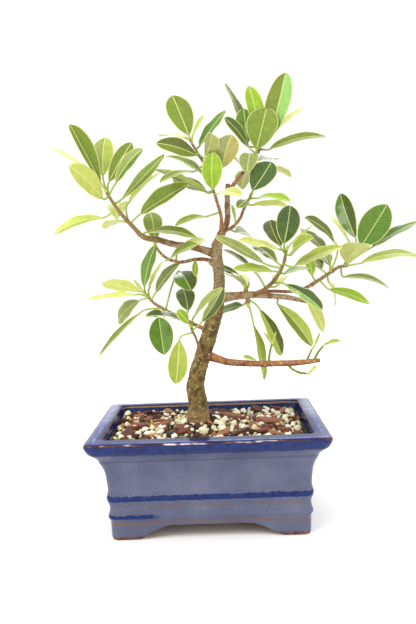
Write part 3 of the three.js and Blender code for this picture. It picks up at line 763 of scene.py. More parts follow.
# The loose grains: [how many, smallest and largest half-size, flatness, lumpiness, colours].
GRAINS = {
    "humus_crumbs": (420, 0.9, 2.2, 0.7, 0.45, ("1d140e", "2b1f15", "3c2c1e", "4a3828")),
    "bark_crumbs": (230, 1.1, 2.4, 0.45, 0.35, ("6e3f28", "8a5437", "a4623c", "5a3422", "c07a44")),
    "pale_grit": (300, 0.9, 1.9, 0.8, 0.3, ("c6c48c", "a8a878", "93986c", "d6cfa0", "b8b884")),
    "perlite": (250, 1.4, 2.9, 0.85, 0.5, ("f3ecd2", "faf6e8", "ebe0b4", "e2d8a2", "f5efdc")),
}
GRAIN_TILT = 3.1
BARK_CHIPS = 74
BARK_CHIP_TILT = 0.32
BARK_CHIP_COLOURS = ("5a3020", "74422c", "8c5a40", "4a2a1c", "9a6a4c", "3a2418", "7e4e38")
SOIL_HALF_X = 66.5
SOIL_HALF_Y = 49.5
PLACE_ATTEMPTS = 30


def free_place(rng, taken, radius, spacing):
    """A random place on the soil clear of the trunk and not too near what is already placed, or None."""
    for attempt in range(PLACE_ATTEMPTS):
        x = rng.uniform(-SOIL_HALF_X + radius, SOIL_HALF_X - radius)
        y = rng.uniform(-SOIL_HALF_Y + radius, SOIL_HALF_Y - radius)
        clear = math.dist((x, y), TRUNK_FOOT) > TRUNK_FOOT_RADIUS + radius + 0.8
        if clear and all(math.dist((x, y), (a, b)) > spacing * (radius + r) for a, b, r in taken):
            taken.append((x, y, radius))
            return x, y
    return None


def make_grains(name, rng, taken):
    """Rounded, lumpy grains of one kind; the pale grit is half as dense on the left."""
    count, smallest, largest, flatness, lumpiness, codes = GRAINS[name]
    corners, faces = ball(2)
    piece = Piece(name)
    for number in range(count):
        size = mix(smallest, largest, rng.random() ** 1.6)
        place = free_place(rng, taken, size, 0.7)
        if place is None:
            continue
        x, y = place
        if name == "pale_grit" and x < 0 and rng.random() < 0.5:
            continue
        turn = random_turn(rng, GRAIN_TILT)
        stretch = Vector((rng.uniform(0.8, 1.35), rng.uniform(0.75, 1.1), flatness * rng.uniform(0.8, 1.1)))
        seed = Vector((number * 3.7, len(name), 0))
        lump = []
        for corner in corners:
            lumps = noise.noise(corner * 1.1 + seed) + 0.5 * noise.noise(corner * 2.7 + seed)
            swell = 1 + lumpiness * lumps
            point = turn @ (Vector(a * b for a, b in zip(corner, stretch)) * size * swell)
            lump.append(Vector((x, y, soil_height(x, y) + 0.35 * size)) + point)
        shade = colour(rng.choice(codes)) * rng.uniform(0.85, 1.05)
        piece.add(lump, faces, tint=shade)
    piece.build([grain_material(name)], "potting_mix")


def grain_material(name):
    shader = Shader(name)
    place = shader.object_coordinates()
    pits = shader.noise(place, 0.8, 3, 0.65)
    dirt = shader.rise(shader.noise(place, 2.2, 2), 0.62, 0.8)
    light = shader.ramp(pits, [(0.3, Vector((0.72, 0.7, 0.66))), (0.6, Vector((1, 1, 1)))])
    shade = shader.paint(shader.tinted(light), colour("6b5238"), dirt, 0.35)
    return shader.finish(shade, roughness=0.9, normal=shader.bump(pits, 0.35))


def make_bark_chips(rng, taken):
    """Flat, angular chips of bark with split, layered ends."""
    piece = Piece("bark_chips")
    for number in range(BARK_CHIPS):
        length = mix(3.5, 9.5, rng.random() ** 1.4)
        place = free_place(rng, taken, length * 0.45, 0.75)
        if place is None:
            continue
        width = length * rng.uniform(0.3, 0.55)
        thick = rng.uniform(0.8, 1.9)
        turn = random_turn(rng, BARK_CHIP_TILT)
        centre = Vector((*place, soil_height(*place) + 0.6 * thick + 0.5))
        steps = 9
        rings = []
        for step in range(steps + 1):
            t = step / steps * 2 - 1
            taper = max(0.25, 1 - abs(t) ** 5)
            ring = []
            for angle in turns(14):
                square = 1 / max(abs(math.cos(angle)), abs(math.sin(angle)))
                rough = 1 + 0.22 * noise.noise(Vector((t * 2.3, angle * 1.7, number * 5.1)))
                across = width * math.cos(angle) * min(square, 1.25) * rough * taper
                up = thick * math.sin(angle) * min(square, 1.25) * rough
                along = length * (t + 0.1 * noise.noise(Vector((angle * 2.1, t, number * 2.3))))
                ring.append(centre + turn @ Vector((along, across, up)))
            rings.append(ring)
        vertices, faces = loft(rings)
        piece.add(vertices, faces, tint=colour(rng.choice(BARK_CHIP_COLOURS)) * rng.uniform(0.85, 1.1))
    shader = Shader("bark_chips")
    layers = shader.noise(shader.object_coordinates(), 1.5, 4, 0.7)
    light = shader.ramp(layers, [(0.3, Vector((0.45, 0.42, 0.4))), (0.65, Vector((1.15, 1.1, 1.05)))])
    material = shader.finish(shader.tinted(light), roughness=0.85, normal=shader.bump(layers, 0.6))
    piece.build([material], "potting_mix")


def make_drain_screen(name, side):
    """A square of plastic mesh: crossed strands two millimetres apart."""
    piece = Piece(name + "_mesh")
    half = 11.7
    strand = 0.35
    strands = 13
    low = FLOOR_TOP + 0.35
    for i in range(strands):
        offset = mix(-half + strand, half - strand, i / (strands - 1))
        for turned in (False, True):
            rings = []
            bottom = low + (strand if turned else 0)
            for end in (-half, half):
                ring = []
                for a, b in ((-1, 0), (1, 0), (1, 1), (-1, 1)):
                    x, y = (offset + a * strand, end) if turned else (end, offset + a * strand)
                    ring.append((side * DRAIN_OFFSET + x, y, bottom + b * 1.2 * strand))
                rings.append(ring)
            piece.add(*loft(rings))
    shader = Shader(name)
    wear = shader.noise(shader.object_coordinates(), 4, 2)
    shade = shader.two_tone(wear, "17191c", "2a2d31")
    piece.build([shader.finish(shade, roughness=0.6)], "drain_mesh", name)


# ---------------------------------------------------------------- trunk and branches

# Millimetres from the middle of the underside of the pot. Each path point is [x, y, z, radius].
# A limb starts on the middle line of the limb it grows from, or at that limb's end.
WOOD = {
    "trunk": {
        "look": "bark",
        "path": [
            [-6, 1, 34, 8], [-7, 1, 56, 9], [-7, 1, 68, 7.8], [-7.2, 0.5, 80, 6.6], [-8.4, 0, 90, 6.4],
            [-6.8, 0, 100, 5.9], [-3.5, 0, 110, 5.6], [0, 0.5, 119, 5.6], [3.6, 1, 130, 5.6],
            [6.8, 1, 140, 5.3],
            [9.2, 1, 150, 5], [10.8, 0.5, 160, 4], [11.4, 0, 170, 3.8], [10, 0, 181, 3.9],
            [10.6, 0, 191, 3.5],
        ],
    },
    "leader": {
        "from": ["trunk"],
        "look": "bark",
        "path": [
            [10.6, 0, 190, 2.9], [14, 0.4, 198, 2.8], [18.3, 0.8, 207, 2], [18.8, 1, 219, 1.9],
            [19.6, 1, 232, 1.5],
        ],
    },
    "branch_left": {
        "from": ["trunk"],
        "lean": -8,
        "look": "bark",
        "path": [
            [10, 0, 184, 2.9], [3, -0.5, 186.5, 2.6], [-6, -1, 189.6, 2.3], [-19, -2, 192, 2.1],
            [-30, -3, 195.6, 2],
        ],
    },
    "branch_left_low": {
        "from": ["trunk"],
        "lean": 4,
        "look": "twig",
        "path": [
            [10.6, 1, 177.5, 1.5], [2, 3, 180.5, 1.3], [-6, 4.5, 180.6, 1.2], [-15.6, 5, 179.2, 1.1],
            [-22, 4.7, 180.6, 1],
        ],
    },
    "branch_right": {
        "from": ["trunk"],
        "lean": 3,
        "look": "bark",
        "path": [
            [10, 0.8, 153, 3.6], [20, 0, 154, 2.9], [30, -0.5, 154.6, 2.5], [37, -0.5, 154.6, 2.3],
            [48, 0, 153.2, 1.9], [58, 1, 151.8, 1.7], [65, 1.5, 150.2, 1.5], [72, 2, 148.2, 1.3],
        ],
    },
    "branch_right_far": {
        "from": ["branch_right"],
        "lean": 10,
        "look": "twig",
        "path": [
            [38, 0.6, 155, 1.3], [46, 2.6, 156.4, 1.1], [63, 3.8, 155.4, 1.1], [70, 4, 156.8, 1.2],
            [76, 4.2, 159.4, 1.3],
        ],
    },
    "branch_right_up": {
        "from": ["branch_right", "branch_right_far"],
        "lean": -5,
        "look": "twig",
        "path": [[34, -0.5, 154.6, 1.5], [42, -2, 157.6, 1.4]],
    },
    "branch_bare": {
        "from": ["trunk"],
        "lean": -12,
        "look": "twig",
        "path": [
            [-1, 0.3, 113.5, 3.4], [8, -2, 110.5, 2.9], [16, -3.5, 108.2, 2.4], [36, -6, 106.8, 2.2],
            [60, -7.6, 106.8, 2.1], [70, -8, 107.4, 1.9], [79, -8, 108.2, 1.4],
        ],
    },
    "branch_low_left": {
        "from": ["trunk"],
        "lean": 8,
        "look": "twig",
        "path": [[4, 1, 130.6, 1.6], [-3, 2.4, 132.6, 1.5], [-13, 4, 137.7, 1.2]],
    },
    "twig_trunk_front": {
        "from": ["trunk"],
        "lean": -3,
        "look": "twig",
        "path": [[-3.5, 0, 110, 0.8], [-3.2, -6.6, 112, 0.9], [-4, -7.6, 116.5, 0.9], [-4.8, -8, 121, 0.9]],
    },
    "twig_crown_left": {
        "from": ["trunk", "leader"],
        "lean": -6,
        "look": "twig",
        "path": [[10.6, 0, 189, 1.5], [13, -3.4, 198, 1.3], [14.2, -4, 209, 1.1], [11.6, -4, 220, 1]],
    },
    "twig_crown_right": {
        "from": ["leader"],
        "lean": 7,
        "look": "twig",
        "path": [[19, 1, 226.6, 1.2], [24, 1.4, 232, 1.3], [32, 2, 241, 1.2]],
    },
    "twig_inner_right": {
        "from": ["leader"],
        "lean": -3,
        "look": "twig",
        "path": [[14.4, 0.4, 199, 1], [22, -2.4, 202.4, 1.1], [27.2, -3.6, 208, 1], [29.6, -4, 213.4, 0.9]],
    },
}

# ---------------------------------------------------------------- shoots and leaves

# A shoot is a leafy stretch of wood with its leaves. Each leaf is [base x, y, z, tip x, y, z, width,
# facing x, y, z, arch]: the facing vector points roughly out of the upper side, and the arch is how far
# the blade's middle stands above the straight line from base to tip. A shoot without a path is one
# leaf standing on the wood itself. Its looks name each leaf's shades: one for both halves, or two with
# a slash, where the two halves' different shades paint light on one half and shade on the other; a plus
# sign folds the leaf more and an exclamation mark makes it glossier.
SHOOTS = {
    "shoot_left_middle": {
        "from": ["branch_left"],
        "lean": -8,
        "path": [[-30, -3, 195.6, 2], [-40, -4, 198, 1.8], [-47, -5, 205.5, 1.5], [-51, -5.5, 210, 1.3]],
        "looks": "pale mid+ pale yellow olive",
        "leaves": [
            [-50, 0, 222, -29, 17, 245, 11, -5, -4, 5, 1],
            [-41, -5, 214, -7, -15, 233, 15, -3, -8, 5, 1],
            [-59, 2, 212, -60, 34, 227, 15, 0, -5, 8, 2],
            [-51, 2, 209, -73, 30, 207, 10, 0, 2, 9, 2],
            [-38, -5, 201, -3, -13, 197, 13, 0, -4, 8, 3],
        ],
    },
    "shoot_left_end": {
        "from": ["shoot_left_middle"],
        "lean": -6,
        "path": [[-51, -5.5, 210, 1.3], [-55, -6, 215, 1.2], [-60, -6.5, 223, 1.1], [-63.5, -7, 229, 1]],
        "looks": "mid/olive+ grey/light yellow pale mid grey/green light/pale mid",
        "leaves": [
            [-67, -8, 236, -85, -10, 276, 14, 6, -7, 3, 0],
            [-66, -4, 241, -67, 20, 272, 16, 0, -8, 5, 1],
            [-72, -3, 241, -105, 15, 266, 9, 4, -3, 7, 1],
            [-66, -10, 225, -84, -27, 246, 17, 2, -8, 5, 1],
            [-62, -4, 237, -46, 7, 265, 12, 4, -7, 3, 0],
            [-57, -9, 235, -38, -21, 256, 12, 5, -4, 6, 1],
            [-66, -11, 212, -99, -18, 203, 11, 0, -6, 8, 3],
            [-53, -6, 225, -24, -2, 255, 12, -6, -8, 4, 0],
        ],
    },
    "shoot_left_low": {
        "from": ["branch_left_low"],
        "lean": 4,
        "path": [[-22, 4.7, 180.6, 1], [-27, 4.4, 183.6, 1], [-31, 4, 188, 0.9], [-32.6, 4.4, 191, 0.8]],
        "looks": "mid mid/grey",
        "leaves": [
            [-33, 6, 195, -38, 30, 218, 14, 0, -7, 6, 1],
            [-22, -16, 182, -3, -35, 191.5, 12.5, -3, -6, 8, 1],
        ],
    },
    "leaf_left_low_young": {
        "from": ["branch_left_low"],
        "young": True,
        "looks": "bright",
        "leaves": [[-5, 1, 180, -5, -3, 169, 4.5, 0, -9, 2, 0]],
    },
    "leaf_left_low_back": {
        "from": ["branch_left_low"],
        "looks": "pale",
        "leaves": [[-17, 9, 186, 2, 30, 196, 12, -1, -6, 7, 1]],
    },
    "leaf_crown_left_low": {
        "from": ["twig_crown_left"],
        "looks": "light",
        "leaves": [[4, -6, 210, -17, -17, 205, 8, 0, -5, 8, 2]],
    },
    "shoot_crown_left_low": {
        "from": ["twig_crown_left"],
        "lean": -8,
        "path": [[11.6, -4, 220, 1], [9, -3.6, 230, 0.9], [5.6, -3.2, 243, 0.9], [0.6, -3, 252, 0.9]],
        # The first leaf's tan half is a painted reflection.
        "looks": "tan/dark bright mid olive/pale dark pale/yellow mid",
        "leaves": [
            [16, -6, 243, 23, -27, 262, 17, 0, 7, 5, 0],
            [9, -10, 228, 10, -21, 251, 14, 1, -8, 3, 0],
            [3, 1, 240, -23, 17, 257, 12, 3, -4, 8, 1],
            [5, -4, 227, -30, -9, 245, 12, 3, -5, 7, 1],
            [5, 2, 227, -19, 24, 240, 13, 2, -7, 6, 1],
            [11, -8, 225, 27, -30, 222, 12, 0, -6, 8, 2],
            [-3, -7, 241, -25, -27, 233, 10, 0, -4, 9, 2],
        ],
    },
    "shoot_crown_left_top": {
        "from": ["shoot_crown_left_low"],
        "lean": -3,
        "path": [[0.6, -3, 252, 0.9], [-3.4, -3, 259.4, 0.9], [-5, -3, 263, 0.8]],
        "looks": "mid/olive olive/dark_olive yellow bright green grey/dark+",
        "leaves": [
            [-6, -3, 266, -17, 12, 297, 18, 1, -8, 3, 0],
            [-1, -5, 252, -27, -13, 261, 15, 1, -8, 5, 1],
            [-8, 1, 265, -28, 25, 272, 10, 1, -4, 9, 1],
            [-3, -5, 266, 4, -9, 278, 4, -6, -6, 2, 0],
            [1, 0, 259, 20, 16, 286, 12, -6, -7, 4, 0],
            [5, -6, 250, 10, -25, 263, 12, 4, 0, 6, 0],
        ],
    },
    "shoot_crown_right_low": {
        "from": ["twig_crown_right"],
        "lean": 5,
        "path": [[32, 2, 241, 1.2], [39, 2.6, 249.4, 1.1]],
        "looks": "dark_olive pale grey olive light",
        "leaves": [
            [42, 5, 248, 56, 30, 252, 13, 0, -5, 8, 1],
            [46, 10, 243, 67, 34, 240, 9, -1, 0, 9, 2],
            [36, -5, 251, 32, -29, 237, 13, 0, -6, 8, 3],
            [33, 5, 241, 31, 31, 232, 12, 0, -3, 9, 2],
            [30, 7, 245, 20, 23, 256, 8, 5, 0, 5, 1],
        ],
    },
    "shoot_crown_right_top": {
        "from": ["shoot_crown_right_low"],
        "lean": 3,
        "path": [[39, 2.6, 249.4, 1.1], [42.6, 3, 255, 1], [43.6, 3.2, 258.4, 0.9]],
        "looks": "olive/mint bright grey_dark mid green dark yellow olive",
        "leaves": [
            [50, 8, 263, 63, 14, 309, 19, -4, -8, 2, 0],
            [44, 10, 268, 38, 21, 303, 13, 2, -8, 3, 0],
            [35, 16, 268, 22, 31, 308, 12, 7, -5, 3, 0],
            [40, -2, 254, 49, 12, 285, 22, 0, -9, 3, 0],
            [34, 4, 259, 33, 17, 286, 14, 0, -8, 4, 0],
            [35, -1, 256, 20, -20, 273, 12, 5, -6, 3, 1],
            [53, 15, 268, 78, 36, 290, 9, -4, -4, 5, 0],
            [49, -1, 254, 89, 4, 263, 13, 0, -5, 8, 3],
        ],
    },
    "leaf_trunk_right": {
        "from": ["leader", "trunk"],
        "looks": "olive",
        "leaves": [[24, 4, 199, 36, 28, 197, 14, 0, -8, 5, 1]],
    },
    "leaf_inner_right": {
        "from": ["twig_inner_right"],
        "young": True,
        "looks": "bright",
        "leaves": [[24, -5, 206, 22, -8, 217, 5, 8, -4, 1, 0]],
    },
    "shoot_inner_right": {
        "from": ["twig_inner_right"],
        "lean": -4,
        "path": [[29.6, -4, 213.4, 0.9], [32.4, -4.6, 218.4, 0.9], [35, -5, 223, 0.8]],
        "looks": "deep! bright olive pale",
        "leaves": [
            [36, -12, 226, 50, -2, 246, 18, -2, -9, 3, 0],
            [38, -8, 221, 59, -27, 218, 11, 0, -4, 8, 2],
            [32, -7, 220, 25, -24, 214, 8, 4, 0, 9, 1],
            [36, 0, 217, 70, 12, 212, 11, 0, -5, 8, 3],
        ],
    },
    "shoot_right_up_low": {
        "from": ["branch_right_up"],
        "lean": -7,
        "path": [[42, -2, 157.6, 1.4], [49, -2.6, 163.6, 1.3]],
        "looks": "deep/mint! pale dark",
        "leaves": [
            [57, -5, 161.5, 80.5, -17, 145, 14, 4, -6, 6, 1],
            [52, 7, 160, 60, 34, 168, 11, 0, -6, 7, 1],
            [36, 6, 171, 15, 24, 188, 9, 5, -4, 6, 1],
        ],
    },
    "shoot_right_up_middle": {
        "from": ["shoot_right_up_low"],
        "lean": -8,
        "path": [[49, -2.6, 163.6, 1.3], [54, -3, 171, 1.2], [57, -3, 178, 1.1]],
        "looks": "dark/olive grey light light/pale green",
        "leaves": [
            [52, 1, 177, 34, 17, 193, 13, 3, -5, 6, 1],
            [42, -6, 177, 10, -12, 197, 11, 4, -6, 6, 1],
            [49, -6, 171, 21, -15, 174, 12, 0, -5, 8, 1],
            [63, -7, 174, 94, -18, 187, 15, -3, -4, 7, 1],
            [57, 0, 169, 77, 21, 172, 10, -1, -4, 8, 1],
        ],
    },
    "shoot_right_up_top": {
        "from": ["shoot_right_up_middle"],
        "lean": -4,
        "path": [[57, -3, 178, 1.1], [58.4, -3, 185, 1]],
        "looks": "deep! dark_olive light+ bright pale",
        "leaves": [
            [57, -3, 190, 64, 15, 217, 17, 0, -8, 3, 0],
            [55, 3, 188, 50, 28, 209, 14, 1, -7, 5, 0],
            [61, -8, 182, 74, -27, 193, 13, -3, -6, 7, 1],
            [62, -4, 190, 77, -2, 202, 3, -5, -4, 5, 0],
            [54, -7, 186, 26, -21, 194, 11, 0, -5, 8, 1],
        ],
    },
    "shoot_right_inner_top": {
        "from": ["branch_right"],
        "path": [[29.6, -0.5, 154.6, 1.6], [29.6, -0.5, 160, 1.3]],
        "looks": "grey bright/dark yellow dark",
        "leaves": [
            [28, -5, 162, 16, -26, 171, 12, 2, -1, 8, 1],
            [28, -1, 165, 18, 10, 173, 6, 6, -4, 5, 0],
            [32, 5, 163, 23, 28, 171, 10, 4, -3, 8, 1],
            [26, 8, 168, 4, 21, 178, 9, 1, -4, 8, 1],
        ],
    },
    "shoot_right_inner_low": {
        "from": ["branch_right"],
        "path": [[30.6, -0.5, 154.6, 1.7], [30.8, -0.4, 149.4, 1.5]],
        "looks": "green dark_olive/light light",
        "leaves": [
            [27, 5, 147, 7, 28, 140, 12, -1, -6, 7, 1],
            [39, 2, 144, 54, 5, 110, 13, 6, -6, 2, 1],
            [34.5, 5, 133, 42, 5, 93, 12, 8, -5, 1, 1],
        ],
    },
    "leaf_right_outer": {
        "from": ["branch_right"],
        "looks": "light/olive",
        "leaves": [[52, 2, 147, 75, -1, 117, 13, 5, -7, 2, 1]],
    },
    "leaf_far_right_low": {
        "from": ["branch_right_far"],
        "looks": "pale",
        "leaves": [[73, 9, 149, 89, 25, 124, 13, 4, -7, 4, 1]],
    },
    "shoot_far_right_inner": {
        "from": ["branch_right_far"],
        "lean": 8,
        "path": [[76, 4.2, 159.4, 1.3], [86.5, 5, 165.5, 1.2], [91, 5.3, 168.2, 1.2]],
        "looks": "bright olive dark_olive dark_olive olive bright pale",
        "leaves": [
            [77, 5, 166, 75, 12, 182, 8, 1, -7, 4, 0],
            [84, 9, 170, 77, 33, 180, 12, 2, -7, 6, 1],
            [88, 3, 181, 72, 26, 200, 13, 4, -6, 5, 1],
            [93, 0, 188, 71, -16, 206, 12, 5, -6, 5, 2],
            [90, 10, 173, 88, 38, 183, 12, 0, -6, 8, 1],
            [88, 0, 156, 113, -13, 146, 11, 1, -5, 7, 2],
            [89, 9, 161, 98, 28, 143, 9, 7, -5, 3, 1],
        ],
    },
    "shoot_far_right_end": {
        "from": ["shoot_far_right_inner"],
        "lean": 5,
        "path": [[91, 5.3, 168.2, 1.2], [96, 5.6, 171, 1.1], [101, 6, 171.6, 1]],
        "looks": "green/dark green yellow green pale light olive",
        "leaves": [
            [109, 10, 191, 101, 24, 224, 14, -5, -7, 3, 0],
            [112, 6, 185, 133, 15, 214, 21, -1, -9, 3, 0],
            [105, 16, 190, 97, 40, 210, 8, 5, -4, 4, 0],
            [121, 13, 184, 158, 25, 203, 12, -4, -4, 6, 1],
            [101, 2, 174, 107, -21, 187, 20, 0, 5, 8, 1],
            [112, 8, 173, 157, 16, 178, 13, -1, -4, 8, 4],
            [99, 5, 164, 134, 16, 154, 11, 0, -4, 8, 4],
        ],
    },
    "leaf_bare_inner": {
        "from": ["branch_bare"],
        "young": True,
        "looks": "young",
        "leaves": [[34, -7, 110, 26, -9, 113, 5, 0, -5, 8, 0]],
    },
    "shoot_bare_middle": {
        "from": ["branch_bare"],
        "young": True,
        "path": [[43.6, -6.6, 107, 0.9], [44.4, -7, 114, 0.8], [46, -8, 120, 0.8]],
        "looks": "young young",
        "leaves": [
            [45, -8, 122, 41, -10, 129, 2.5, 6, -5, 2, 0],
            [47, -8, 122, 49, -8, 129, 2, -6, -5, 2, 0],
        ],
    },
    "shoot_bare_under": {
        "from": ["branch_bare"],
        "young": True,
        "path": [
            [56, -7.6, 106.6, 0.9], [60, -8.6, 102.4, 0.8], [65, -9.4, 100, 0.8], [69, -10, 99.4, 0.7],
        ],
        "looks": "yellow",
        "leaves": [[71, -10, 100, 76, -11, 105, 3, -3, -7, 5, -1]],
    },
    "shoot_bare_outer": {
        "from": ["branch_bare"],
        "young": True,
        "path": [[69.6, -8, 107.4, 0.9], [73.4, -7, 115, 0.7]],
        "looks": "young",
        "leaves": [[75, -7, 117, 80, -5, 127, 2.5, -6, -5, 3, 0]],
    },
    "shoot_bare_end": {
        "from": ["branch_bare"],
        "young": True,
        "path": [[74.6, -8, 107.8, 1], [78, -8.6, 114, 0.9], [81, -9, 117.6, 0.8]],
        "looks": "young",
        "leaves": [[83, -9, 119, 93, -11, 122, 4, -2, -5, 7, 1]],
    },
    "shoot_low_left_middle": {
        "from": ["branch_low_left"],
        "lean": 12,
        "path": [[-13, 4, 137.7, 1.2], [-22, 5, 142.2, 1.1], [-31, 6, 147, 1.1]],
        "looks": "dark/green olive green grey/dark dark",
        "leaves": [
            [-16, 3, 172, -8, -19, 160, 16, 0, -8, 5, 3],
            [-46, 1, 144, -77, 6, 114, 10, -6, -4, 6, 1],
            [-32, -3, 141, -28, -20, 117, 17, 0, -8, 4, 1],
            [-17, -3, 139, -39, -20, 144, 13, 0, -5, 8, 2],
            [-12, 8, 144, -16, 30, 160, 14, 0, -7, 6, 0],
        ],
    },
    "shoot_low_left_end": {
        "from": ["shoot_low_left_middle"],
        "lean": 8,
        "path": [[-31, 6, 147, 1.1], [-36, 6, 150.6, 1], [-40, 6, 155.4, 1]],
        "looks": "green pale grey_dark yellow pale yellow grey",
        "leaves": [
            [-42, 5, 162, -34, 18, 192, 12, -5, -7, 3, 1],
            [-39, 9, 161, -29, 31, 181, 9, -6, -2, 6, 1],
            [-34, 2, 158, -16, -15, 178, 12, -6, -6, 4, 2],
            [-47, 6, 157, -86, 14, 155, 10, 0, -3, 9, 1],
            [-46, 10, 159, -76, 31, 166, 14, 1, -6, 7, 1],
            [-43, 4, 159, -49, 2, 168, 2.5, 5, -5, 3, 0],
            [-47, 9, 152, -67, 30, 136, 14, -3, -7, 4, 1],
        ],
    },
    "shoot_trunk_front": {
        "from": ["twig_trunk_front"],
        "lean": -8,
        "path": [[-4.8, -8, 121, 0.9], [-6.6, -8, 127, 0.9], [-9.6, -8, 134, 0.9]],
        "looks": "light bright grey/mid grey/dark",
        "leaves": [
            [-18, -9, 126, -21, -18, 97, 14, 1, -8, 3, 1],
            [-11, -9, 137, -18, -14, 147, 8, 4, -7, 3, 0],
            [-7, -9, 142, 12, -26, 162, 11, -5, -4, 6, 1],
            [-2, -10, 138, 14, -14, 161, 11, 6, -5, 3, 0],
        ],
    },
}


# ---------------------------------------------------------------- leaning out

# The limbs are laid out near one upright plane. Each then leans out of it by its lean, in millimetres
# at its far end, towards the back where that is above zero, and carries along all that grows on it.
# Things move straight away from VIEWPOINT or towards it and grow or shrink to match, so the tree's
# outline from there stays as it is laid out.
VIEWPOINT = Vector((10.6, -483, 172.8))


def corner(numbers):
    """The place that a list of numbers starts with."""
    return Vector(numbers[:3])


def nearest_on_line(start, end, point):
    """How far along a straight line the place nearest to a point is, from 0 to 1, and that place."""
    reach = end - start
    share = min(max((point - start).dot(reach) / reach.length_squared, 0), 1)
    return share, start + reach * share


def lean_near(limb, point):
    """How far a limb leans at its place nearest to a point."""
    found = []
    path, leans = limb["path"], limb["leans"]
    for i in range(len(path) - 1):
        share, place = nearest_on_line(corner(path[i]), corner(path[i + 1]), point)
        found.append(((place - point).length, mix(leans[i], leans[i + 1], share)))
    return min(found)[1]


def leans_along(limb, parent):
    """How far a limb leans at each point of its path: what its parent leans there, and more to its end."""
    path = limb["path"]
    start = lean_near(parent, corner(path[0])) if parent else 0
    lengths = [0]
    for before, after in zip(path, path[1:]):
        lengths.append(lengths[-1] + (corner(after) - corner(before)).length)
    return [start + limb.get("lean", 0) * length / lengths[-1] for length in lengths]


def growth(y, lean):
    """How much larger a thing gets when it leans back from the depth y."""
    return (y + lean - VIEWPOINT.y) / (y - VIEWPOINT.y)


def leaned_point(numbers, lean):
    return list(VIEWPOINT + (corner(numbers) - VIEWPOINT) * growth(numbers[1], lean))


def leaned_leaf(leaf, carrier):
    lean = lean_near(carrier, corner(leaf))
    width = leaf[6] * growth(leaf[1], lean)
    return leaned_point(leaf, lean) + leaned_point(leaf[3:], lean) + [width] + leaf[7:]


def leaned_limbs(limbs):
    """Every limb with its path and leaves moved to where they stand."""
    flat = {}
    leaned = {}
    for name, limb in limbs.items():
        parent = flat[limb["from"][0]] if "from" in limb else None
        leaned[name] = dict(limb)
        flat[name] = parent
        if "path" in limb:
            flat[name] = {"path": limb["path"], "leans": leans_along(limb, parent)}
            leaned[name]["path"] = [
                leaned_point(point, lean) + [point[3] * growth(point[1], lean)]
                for point, lean in zip(limb["path"], flat[name]["leans"])
            ]
        if "leaves" in limb:
            leaned[name]["leaves"] = [leaned_leaf(leaf, flat[name]) for leaf in limb["leaves"]]
    return leaned


LIMBS = leaned_limbs({**WOOD, **SHOOTS})

# Round scars where shoots were cut off the trunk: [x, y, z, radius of the ring].
PRUNING_SCARS = [(-5, -6.2, 101.5, 1.9), (-10.4, -6, 87.5, 0.9), (6, -4.5, 117.5, 1.5), (9, 5, 134, 1.6)]


# ---------------------------------------------------------------- wood

BARK_SHADES = {
    "moss": colour("584c1e"),
    "olive": colour("84743a"),
    "brown": colour("8a673e"),
    "red": colour("845434"),
    "tan": colour("a88c58"),
    "pink": colour("ac8664"),
    "grey_tan": colour("b09c7a"),
    "dot": colour("d6c898"),
    "crack": colour("3c2c1a"),
    "orange": colour("a0663a"),
    "dark_orange": colour("70442a"),
    "green": colour("5f7436"),
}


def cloud(point, size, seed=0.0):
    """Smooth noise from 0 to 1 with patches about this many millimetres across."""
    return 0.5 + 0.5 * noise.noise(point / size + Vector((seed, -seed, seed * 0.7)))


def trunk_shade(point):
    """Mossy olive bark, pinkish at the foot and lighter and greyer towards the crown."""
    shade = BARK_SHADES["olive"].lerp(BARK_SHADES["moss"], smooth_step(0.38, 0.62, cloud(point, 4.5)))
    shade = shade.lerp(BARK_SHADES["tan"], 0.6 * smooth_step(0.52, 0.72, cloud(point, 4, 3)))
    shade = shade.lerp(BARK_SHADES["red"], 0.35 * smooth_step(0.55, 0.7, cloud(point, 3, 7)))
    shade = shade.lerp(BARK_SHADES["brown"], 0.5 * smooth_step(130, 150, point.z))
    shade = shade.lerp(BARK_SHADES["grey_tan"], 0.75 * smooth_step(150, 175, point.z))
    pink = BARK_SHADES["pink"].lerp(BARK_SHADES["tan"], cloud(point, 4, 5))
    return shade.lerp(pink, 0.7 * smooth_step(80, 70, point.z))


def branch_shade(point):
    """Greyish tan bark of the older branches."""
    shade = BARK_SHADES["grey_tan"].lerp(BARK_SHADES["brown"], smooth_step(0.42, 0.68, cloud(point, 4, 1)))
    return shade.lerp(BARK_SHADES["orange"], 0.5 * smooth_step(0.5, 0.7, cloud(point, 7, 5)))


def twig_shade(point):
    """Reddish brown bark of twigs and of the bare branch."""
    shade = BARK_SHADES["orange"].lerp(BARK_SHADES["dark_orange"], smooth_step(0.4, 0.7, cloud(point, 5, 2)))
    return shade.lerp(BARK_SHADES["tan"], 0.4 * smooth_step(0.55, 0.75, cloud(point, 3, 4)))


def stem_shade(point):
    """Bark of a leafy shoot, between brown and green."""
    shade = BARK_SHADES["orange"].lerp(BARK_SHADES["green"], 0.25 + 0.5 * cloud(point, 6, 2))
    return shade.lerp(BARK_SHADES["brown"], 0.3 * cloud(point, 3, 4))


def young_stem_shade(point):
    return colour("7d8c2c").lerp(colour("5c7420"), cloud(point, 4, 1))


def scar_relief(point, scars):
    """How far cut scars make the bark swell, how near it is to a scar's middle, and to a scar's ring."""
    swell = 0.0
    most_middle = 0.0
    most_ring = 0.0
    for x, y, z, radius in scars:
        distance = (point - Vector((x, y, z))).length
        if distance < radius * 3:
            ring = math.exp(-(((distance - radius) / (0.38 * radius)) ** 2))
            middle = math.exp(-((distance / (0.45 * radius)) ** 2))
            swell += 0.75 * ring - 0.5 * middle
            most_middle = max(most_middle, middle)
            most_ring = max(most_ring, ring)
    return swell, most_middle, most_ring


